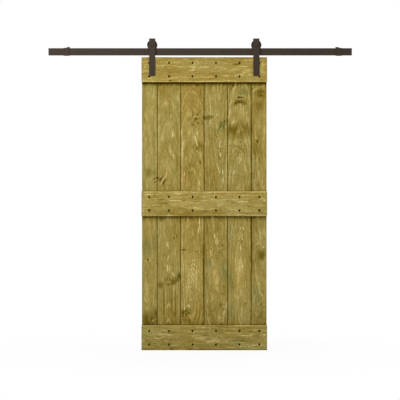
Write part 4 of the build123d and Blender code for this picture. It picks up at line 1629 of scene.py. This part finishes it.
@dataclass
class Leaf(Assembly):
    """The planked door leaf: boards and the wood screws that hold the battens.

    Attributes:
        photo: The photograph's scale.
        pine: The wood and its stain.
        screw: The wood screws, which have a square drive.
        shank_parts: Length of a screw over the length of its head and plain shank.
    """

    photo: Photo
    pine: StainedPine = StainedPine()
    screw: CountersunkScrew = CountersunkScrew(
        shank=2.2, crest=2.2, root=1.54, pitch=2.4, thread_depth=0.7, runout=0.4, point=5.0, drive=3.4,
        drive_depth=2.2, segments=24, drive_sides=4, drive_taper_share=0.86,
    )
    shank_parts: float = 3.0

    def build(self) -> None:
        """Make the wood screws and settle them on the leaf."""
        for level in ("top", "middle", "bottom"):
            node = f"{level}_batten_screws"
            boxes = solid_boxes(self.nodes[node])
            _, length = round_size(boxes[0])
            profile = self.screw.profile(boxes[0], length / self.shank_parts)
            piece = self.turner.turn(f"{level}_wood_screws", profile, front_seats(boxes), self.looks["black"])
            settle(piece, "door", "black_screw", node)

    def dress(self) -> None:
        """Stain every plank and batten with its own figure."""
        for board in BOARDS:
            seats = []
            if board.grain is Grain.LEVEL:
                places = front_seats(solid_boxes(self.nodes[f"{board.node}_screws"]))
                seats = [board.across_along(place.x, place.z) for place in places]
            dress(self.nodes[board.node], Figure(self.pine, board, self.photo, seats).material)


@dataclass(frozen=True)
class HexagonBolt:
    """A hexagon bolt and its nut. Lengths are in millimetres.

    Attributes:
        flats: Width of the head and the nut across the flats.
        head: Height of the head.
        radius: Radius of the shank.
        play: Play of the shank in the strap's hole.
        pitch: Thread pitch.
        thread_share: Share of the shank that is threaded.
        depth_share: Depth of the thread as a share of its pitch.
    """

    flats: float
    head: float
    radius: float
    play: float
    pitch: float
    thread_share: float = 0.45
    depth_share: float = 0.55

    def bolt(self, box: Box) -> TurnedProfile:
        """Give the bolt's section.

        Args:
            box: Corners of the bolt's solid.

        Returns:
            Its half section, from the head's face to the thread's end.
        """
        _, length = round_size(box)
        head, radius, pitch = self.head * MM, self.radius * MM, self.pitch * MM
        start = length - (length - head) * self.thread_share
        depth = pitch * self.depth_share
        points = [
            *hexagon_section(self.flats * MM, head, 0.0, False)[:-1],
            plain(radius, head),
            plain(radius, start - pitch),
            *threaded(radius, start, length - depth, pitch, depth),
            plain(radius - depth, length),
            plain(0.0, length),
        ]
        return TurnedProfile(tuple(points), pitch=pitch)

    def nut(self, box: Box) -> TurnedProfile:
        """Give the nut's section.

        Args:
            box: Corners of the nut's solid.

        Returns:
            Its closed half section.
        """
        _, height = round_size(box)
        loop = hexagon_section(self.flats * MM, height, self.radius * MM, True)
        return TurnedProfile((*loop, loop[0]))


@dataclass
class Hanger(Assembly):
    """One side's bent strap with its through bolts, washers, nuts and axle bolt. Lengths are in millimetres.

    Attributes:
        side: Which side of the door it is on.
        strap_thickness: Thickness of the strap.
        bend_radius: Inner radius of its bends.
        bend_steps: Facets in a bend.
        foot_round: Rounding of its foot's corners.
        ear_round: Rounding of its ear's corners.
        end_steps: Facets in such a rounding.
        ear_drop: How far the ear goes below the axle.
        strap_ease: Easing of its edges.
        ease_segments: Facets across an eased edge.
        ease_angle: Angle from which an edge is eased, in degrees.
        strap_crease: Angle from which an edge is a crease, in degrees: over a bend's, under an easing's.
        hole_segments: Facets round a bolt's hole.
        through_bolt: The bolts that hold it to the leaf.
        axle_bolt: The bolt that carries the wheel.
        washer_ease: Easing of a washer's edges.
    """

    side: Side
    strap_thickness: float = 5.0
    bend_radius: float = 8.0
    bend_steps: int = 14
    foot_round: float = 4.0
    ear_round: float = 20.0
    end_steps: int = 10
    ear_drop: float = 22.5
    strap_ease: float = 0.8
    ease_segments: int = 3
    ease_angle: float = 50.0
    strap_crease: float = 12.0
    hole_segments: int = 48
    through_bolt: HexagonBolt = HexagonBolt(flats=13.0, head=5.3, radius=4.0, play=0.3, pitch=1.25)
    axle_bolt: HexagonBolt = HexagonBolt(flats=18.0, head=7.5, radius=6.0, play=0.25, pitch=1.75)
    washer_ease: float = 0.3

    def build(self) -> None:
        """Make this side's strap and fasteners and settle them on the leaf."""
        strap = self.strap(self.drill())
        strap.data.materials.append(self.looks["coat"])
        settle(strap, "door", "track_steel", f"{self.side}_hanger_strap")
        for kind, name, section in (
            ("strap_bolts", "through_bolts", self.through_bolt.bolt),
            ("axle_bolt", "roller_bolt", self.axle_bolt.bolt),
            ("strap_nuts", "through_nuts", self.through_bolt.nut),
            ("axle_nut", "roller_nut", self.axle_bolt.nut),
            ("strap_washers", "through_washers", self.washer),
        ):
            node = f"{self.side}_{kind}"
            boxes = solid_boxes(self.nodes[node])
            seats = front_seats(boxes)
            piece = self.turner.turn(f"{self.side}_{name}", section(boxes[0]), seats, self.looks["bolt"])
            settle(piece, "door", "bolt_steel", node)

    def washer(self, box: Box) -> TurnedProfile:
        """Give the section of a through bolt's washer."""
        radius, thickness = round_size(box)
        return ring(self.through_bolt.radius * MM, radius, 0.0, thickness, self.washer_ease * MM)

    def drill(self) -> bpy.types.Object:
        """Make the tool that drills the strap: a round bar at each bolt.

        Returns:
            The tool's object.
        """
        shell = bmesh.new()
        for kind, bolt in (("strap_bolts", self.through_bolt), ("axle_bolt", self.axle_bolt)):
            radius = (bolt.radius + bolt.play) * MM
            for low, high in solid_boxes(self.nodes[f"{self.side}_{kind}"]):
                place = Matrix.Translation((low + high) / 2) @ Matrix.Rotation(math.pi / 2, 4, "X")
                bar = {"radius1": radius, "radius2": radius, "depth": high.y - low.y, "matrix": place}
                bmesh.ops.create_cone(shell, cap_ends=True, segments=self.hole_segments, **bar)
        mesh = bpy.data.meshes.new(f"{self.side}_strap_drill")
        shell.to_mesh(mesh)
        shell.free()
        return put(mesh.name, mesh)

    def strap(self, drill: bpy.types.Object) -> bpy.types.Object:
        """Ease the edges of the bent strip and drill it.

        Args:
            drill: The tool that cuts its holes.

        Returns:
            The strap's object.
        """
        blank = put(f"{self.side}_strap_blank", self.strip())
        bevel = blank.modifiers.new("eased_edges", "BEVEL")
        bevel.width = self.strap_ease * MM
        bevel.segments = self.ease_segments
        bevel.limit_method = "ANGLE"
        bevel.angle_limit = math.radians(self.ease_angle)
        holes = blank.modifiers.new("bolt_holes", "BOOLEAN")
        holes.operation = "DIFFERENCE"
        holes.object = drill
        mesh = bpy.data.meshes.new_from_object(blank.evaluated_get(bpy.context.evaluated_depsgraph_get()))
        for helper in (blank, drill):
            bpy.data.objects.remove(helper)
        return finish_mesh(f"{self.side}_bent_strap", mesh, self.strap_crease)

    def strip(self) -> bpy.types.Mesh:
        """Bend a flat strip with rounded ends: up the leaf, over the wheel and down behind the bar.

        Returns:
            The strip's mesh, with sharp edges.
        """
        low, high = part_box(f"{self.side}_hanger_strap")
        axle_low, axle_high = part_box(f"{self.side}_axle_bolt")
        axle_z = (axle_low.z + axle_high.z) / 2
        thickness = self.strap_thickness * MM
        outer = self.bend_radius * MM + thickness
        path = [(Vector((low.y, low.z)), Vector((1.0, 0.0)))]
        bends = ((low.y + outer, high.z - outer, math.pi), (high.y - outer, high.z - outer, math.pi / 2))
        for centre_y, centre_z, start in bends:
            for turn in quarter_turn(self.bend_steps):
                out = Vector((math.cos(start - turn), math.sin(start - turn)))
                path.append((Vector((centre_y, centre_z)) + out * outer, -out))
        path.append((Vector((high.y, axle_z - self.ear_drop * MM)), Vector((-1.0, 0.0))))

        middle = (low.x + high.x) / 2
        half = (high.x - low.x) / 2
        stations = self.rounded_end(path[0], path[1][0], half, self.foot_round * MM)
        stations += [(place, inward, half) for place, inward in path[1:-1]]
        stations += reversed(self.rounded_end(path[-1], path[-2][0], half, self.ear_round * MM))
        shell = bmesh.new()
        rings = []
        for place, inward, reach in stations:
            back = place + inward * thickness
            corners = ((place, -reach), (place, reach), (back, reach), (back, -reach))
            rings.append([shell.verts.new((middle + across, spot.x, spot.y)) for spot, across in corners])
        for first, second in zip(rings, rings[1:]):
            for number in range(len(first)):
                after = (number + 1) % len(first)
                shell.faces.new((first[number], first[after], second[after], second[number]))
        shell.faces.new(rings[0])
        shell.faces.new(rings[-1])
        bmesh.ops.recalc_face_normals(shell, faces=shell.faces)
        mesh = bpy.data.meshes.new(f"{self.side}_strap_blank")
        shell.to_mesh(mesh)
        shell.free()
        return mesh

    def rounded_end(
        self, end: tuple[Vector, Vector], after: Vector, half: float, rounding: float
    ) -> list[tuple[Vector, Vector, float]]:
        """Lay out the stations of a strap's rounded end.

        Args:
            end: Place and inward direction at the end.
            after: Place of the next station.
            half: Half the strap's width.
            rounding: Radius of the end's corners.

        Returns:
            Place, inward direction and half width of each station, from the end inwards.
        """
        along = (after - end[0]).normalized()
        stations = []
        for turn in quarter_turn(self.end_steps):
            place = end[0] + along * rounding * (1 - math.cos(turn))
            stations.append((place, end[1], half - rounding * (1 - math.sin(turn))))
        return stations


@dataclass
class Roller(Assembly):
    """One side's grooved wheel with its sealed bearing and axle bushes. Lengths are in millimetres.

    Attributes:
        side: Which side of the door it is on.
        groove_radius: Radius at the bottom of the groove.
        groove_half: Half width of the groove's bottom.
        groove_draft: Lean of the groove's walls, in degrees.
        rim_depth: Depth of the solid rim.
        web_inset: How far the web lies behind the rim's face.
        hub_inset: How far the hub lies behind it.
        hub_wall: Wall of the hub round the bearing.
        edge_round: Rounding of the rim's edges.
        edge_steps: Facets in that rounding.
        lip: How far the hub's lip reaches over the bearing.
        ring_bite: Depth of the retaining ring's groove.
        ring_width: Width of that groove.
        seat_clearance: Play of the bearing in the hub and on the axle.
        bore_clearance: Play of the bushes on the axle.
        axle_radius: Radius of the axle.
        seal_radius: Outer radius of the bearing's seals.
        seal_recess: How far the seals lie behind the ring's face.
        inner_clearance: Play between the seals and the inner ring.
        outer_ease: Easing of the outer ring's edges.
        inner_ease: Easing of the inner ring's edges.
        bush_ease: Easing of the bushes' edges.
        wheel_segments: Facets round the wheel.
        race_segments: Facets round the outer ring.
    """

    side: Side
    groove_radius: float = 22.5
    groove_half: float = 3.7
    groove_draft: float = 7.0
    rim_depth: float = 6.0
    web_inset: float = 3.0
    hub_inset: float = 1.5
    hub_wall: float = 4.5
    edge_round: float = 1.2
    edge_steps: int = 5
    lip: float = 2.5
    ring_bite: float = 0.7
    ring_width: float = 1.3
    seat_clearance: float = 0.02
    bore_clearance: float = 0.1
    axle_radius: float = 6.0
    seal_radius: float = 13.2
    seal_recess: float = 0.4
    inner_clearance: float = 0.1
    outer_ease: float = 0.5
    inner_ease: float = 0.3
    bush_ease: float = 0.4
    wheel_segments: int = 96
    race_segments: int = 64

    def build(self) -> None:
        """Turn the wheel, the bearing's rings and the bushes, and settle them."""
        side = self.side
        low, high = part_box(f"{side}_wheel")
        centre = (low + high) / 2
        wheel = self.turner.turn(f"{side}_grooved_wheel", self.wheel(), [centre], self.looks["coat"])
        settle(wheel, f"{side}_wheel", "wheel_steel", f"{side}_wheel")
        race = self.turner.turn(f"{side}_sealed_race", self.outer_race(), [centre], self.looks["bearing"])
        settle(race, f"{side}_wheel", "bearing_steel", f"{side}_bearing_outer_ring")

        radius, width = round_size(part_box(f"{side}_bearing_inner_ring"))
        bore = (self.axle_radius + self.seat_clearance) * MM
        profile = ring(bore, radius, -width / 2, width / 2, self.inner_ease * MM)
        inner = self.turner.turn(f"{side}_inner_race", profile, [centre], self.looks["bearing"])
        settle(inner, "door", "bearing_steel", f"{side}_bearing_inner_ring")

        names = [f"{side}_front_axle_bush", f"{side}_rear_axle_bush"]
        radius, length = round_size(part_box(names[0]))
        bore = (self.axle_radius + self.bore_clearance) * MM
        profile = ring(bore, radius, 0.0, length, self.bush_ease * MM)
        seats = [Vector((centre.x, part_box(name)[0].y, centre.z)) for name in names]
        bushes = self.turner.turn(f"{side}_axle_bushes", profile, seats, self.looks["bolt"])
        settle(bushes, "door", "bearing_steel", *names)

    def wheel(self) -> TurnedProfile:
        """Give the wheel's section: groove, rounded rims, web, hub, bearing seat and retaining groove.

        Returns:
            Its closed half section about the wheel's middle.
        """
        flange, width = round_size(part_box(f"{self.side}_wheel"))
        bearing, bearing_width = round_size(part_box(f"{self.side}_bearing_outer_ring"))
        half, bearing_half = width / 2, bearing_width / 2
        groove = self.groove_radius * MM
        bottom = self.groove_half * MM
        mouth = bottom + (flange - groove) * math.tan(math.radians(self.groove_draft))
        rim = flange - self.rim_depth * MM
        web = half - self.web_inset * MM
        hub_half = half - self.hub_inset * MM
        hub = bearing + self.hub_wall * MM
        seat = bearing + self.seat_clearance * MM
        lip = bearing - self.lip * MM
        snap = bearing + self.ring_bite * MM
        snap_end = bearing_half + self.ring_width * MM
        ease = self.edge_round * MM
        edge = flange - ease
        arc = quarter_turn(self.edge_steps)
        outside = [(edge + ease * math.sin(turn), half - ease + ease * math.cos(turn)) for turn in arc]
        inside = [(edge + ease * math.cos(turn), mouth + ease - ease * math.sin(turn)) for turn in arc]
        rim_half = [*outside, *inside, (groove, bottom)]
        loop = [
            (seat, -hub_half), (hub, -hub_half), (hub, -web), (rim, -web), (rim, -half),
            *[(radius, -reach) for radius, reach in rim_half],
            *reversed(rim_half),
            (rim, half), (rim, web), (hub, web), (hub, hub_half), (lip, hub_half), (lip, bearing_half),
            (seat, bearing_half), (seat, -bearing_half), (snap, -bearing_half), (snap, -snap_end),
            (seat, -snap_end), (seat, -hub_half),
        ]
        return TurnedProfile(tuple(plain(*place) for place in loop), segments=self.wheel_segments)

    def outer_race(self) -> TurnedProfile:
        """Give the section of the bearing's outer ring with its two seals.

        Returns:
            Its closed half section about the wheel's middle.
        """
        outer, width = round_size(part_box(f"{self.side}_bearing_outer_ring"))
        inner, _ = round_size(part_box(f"{self.side}_bearing_inner_ring"))
        half = width / 2
        bore = inner + self.inner_clearance * MM
        seal = self.seal_radius * MM
        face = half - self.seal_recess * MM
        ease = self.outer_ease * MM
        front = [(bore, -face), (seal, -face), (seal, -half), (outer - ease, -half), (outer, ease - half)]
        loop = [*front, *[(radius, -reach) for radius, reach in reversed(front)], front[0]]
        return TurnedProfile(tuple(plain(*place) for place in loop), segments=self.race_segments)

    def dress(self) -> None:
        """Give the retaining ring its finish."""
        dress(self.nodes[f"{self.side}_retaining_ring"], self.looks["bearing"])


@dataclass(frozen=True)
class SoftBox:
    """A square soft light.

    Attributes:
        name: Its name.
        power: Its power, in watts.
        size: Its side, in metres.
        place: Where it stands, in metres.
        drop_share: How far down the object it aims, as a share of the height.
    """

    name: str
    power: float
    size: float
    place: Triple
    drop_share: float = 0.5


@dataclass
class Studio:
    """Plain pale floor, soft light and the camera at the photograph's angle. Lengths are in metres.

    Attributes:
        floor_gap: Gap between the leaf and the floor.
        floor_size: Side of the floor.
        floor_shade: Shade of the floor in the light that it sends back.
        shadow_start: How far from the door the floor's shadow starts to fade.
        shadow_reach: How far from the door it ends.
        shadow_shown: How white the floor is under the door and past its shadow.
        aim: Where the lights aim along Y.
        camera_distance: Distance from the camera to the bar.
        camera_reach: How far the camera sees.
        sensor: Width of the camera's sensor, in millimetres.
        sky: Strength of the light from all round.
        lights: The key light, the fill light and the one behind the door.
    """

    floor_gap: float = 0.012
    floor_size: float = 40.0
    floor_shade: float = 0.85
    shadow_start: float = 0.5
    shadow_reach: float = 2.2
    shadow_shown: Pair = (0.93, 1.0)
    aim: float = -0.05
    camera_distance: float = 12.0
    camera_reach: float = 100.0
    sensor: float = 36.0
    sky: float = 0.34
    lights: tuple[SoftBox, ...] = (
        SoftBox("key", 141.0, 2.8, (-1.9, -3.1, 1.5), drop_share=0.4),
        SoftBox("fill", 26.0, 3.0, (2.6, -4.2, -0.4)),
        SoftBox("back", 110.0, 3.0, (1.6, 3.6, 1.0)),
    )

    def build(self, photo: Photo) -> None:
        """Make the floor, the world, the lights and the camera.

        Args:
            photo: The photograph's scale.
        """
        low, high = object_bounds()
        self._floor(low.z - self.floor_gap)
        self._world()
        for light in self.lights:
            self._light(light, Vector((0.0, self.aim, high.z + light.drop_share * (low.z - high.z))))
        self._camera(photo)

    def _seen_directly(self, graph: Graph) -> Socket:
        """Tell rays from the camera, and those that metal or glass sends on, from the light's own.

        Args:
            graph: The graph that asks.

        Returns:
            A socket that is 1 for such rays.
        """
        kinds = ("Is Camera Ray", "Is Glossy Ray", "Is Transmission Ray")
        camera, glossy, clear = [graph.add("ShaderNodeLightPath", out=kind) for kind in kinds]
        seen = graph.add(MATH, (camera, glossy), operation="MAXIMUM")
        return graph.add(MATH, (seen, clear), operation="MAXIMUM")

    def _floor(self, height: float) -> None:
        """Lay a white floor that shows only the door's faint shadow.

        Args:
            height: Where it lies.
        """
        half = self.floor_size / 2
        mesh = bpy.data.meshes.new("studio_floor")
        corners = [(-half, -half, height), (half, -half, height), (half, half, height), (-half, half, height)]
        mesh.from_pydata(corners, [], [(0, 1, 2, 3)])
        paper, graph = new_material("white_studio_paper")
        matt = graph.add("ShaderNodeBsdfDiffuse", {"Color": grey(self.floor_shade)})
        bright = graph.add("ShaderNodeEmission", {"Color": grey(1.0), "Strength": 1.0})
        place = (graph.add("ShaderNodeTexCoord", out="Object"), (0.0, 0.0, height))
        away = graph.add(VECTOR_MATH, place, out="Value", operation="DISTANCE")
        pale = between(away, (self.shadow_start, self.shadow_reach), self.shadow_shown)
        pale = graph.add(MAP_RANGE, pale, interpolation_type="SMOOTHSTEP")
        share = graph.add(MATH, (self._seen_directly(graph), pale), operation="MULTIPLY")
        graph.add("ShaderNodeOutputMaterial", [graph.add("ShaderNodeMixShader", (share, matt, bright))])
        mesh.materials.append(paper)
        put("studio_floor", mesh)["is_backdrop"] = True

    def _world(self) -> None:
        """Surround the door with soft light that looks white."""
        world = bpy.data.worlds.new("studio_white")
        world.use_nodes = True
        graph = Graph(world.node_tree)
        light, white = [
            graph.add("ShaderNodeBackground", {"Color": grey(1.0), "Strength": strength})
            for strength in (self.sky, 1.0)
        ]
        mixed = graph.add("ShaderNodeMixShader", (self._seen_directly(graph), light, white))
        graph.add("ShaderNodeOutputWorld", [mixed])
        bpy.context.scene.world = world

    def _light(self, light: SoftBox, target: Vector) -> None:
        """Set up one soft box.

        Args:
            light: The soft box.
            target: What it faces.
        """
        lamp = bpy.data.lights.new(light.name, "AREA")
        lamp.energy = light.power
        lamp.size = light.size
        holder = put(light.name, lamp)
        holder.location = light.place
        holder.rotation_euler = (target - Vector(light.place)).to_track_quat("-Z", "Y").to_euler()

    def _camera(self, photo: Photo) -> None:
        """Look straight at the door, framed as the photograph is.

        Args:
            photo: The photograph's scale.
        """
        x, z = photo.place(photo.side / 2, photo.side / 2)
        front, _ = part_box("rail")
        lens = bpy.data.cameras.new("front_camera")
        lens.sensor_width = self.sensor
        lens.lens = self.sensor * self.camera_distance / (photo.side * photo.metres_per_pixel())
        lens.clip_end = self.camera_reach
        holder = put("front_camera", lens)
        holder.location = (x, front.y - self.camera_distance, z)
        holder.rotation_euler = (math.pi / 2, 0.0, 0.0)
        bpy.context.scene.camera = holder


def main() -> None:
    """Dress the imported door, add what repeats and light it."""
    logging.basicConfig(level=logging.INFO, format="%(name)s: %(message)s")
    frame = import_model()
    cad_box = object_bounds()
    photo = Photo()
    looks = {
        "coat": POWDER_COAT.material(),
        "bolt": BRONZE_PLATING.material(),
        "black": BLACK_PHOSPHATE.material(),
        "bearing": GROUND_STEEL.material(),
        "rubber": NITRILE_RUBBER.material(),
    }
    shared = (frame["nodes"], TurnedTree(), looks)
    assemblies = [Track(*shared), Leaf(*shared, photo)]
    for side in Side:
        assemblies += [Hanger(*shared, side), Roller(*shared, side)]
    for assembly in assemblies:
        assembly.build()
        assembly.dress()
    Studio().build(photo)
    bpy.context.scene.view_settings.view_transform = "Standard"

    boxes = {"cad": cad_box, "visual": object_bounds()}
    {name: [list(low), list(high)] for name, (low, high) in boxes.items()}


if __name__ == "__main__":
    main()
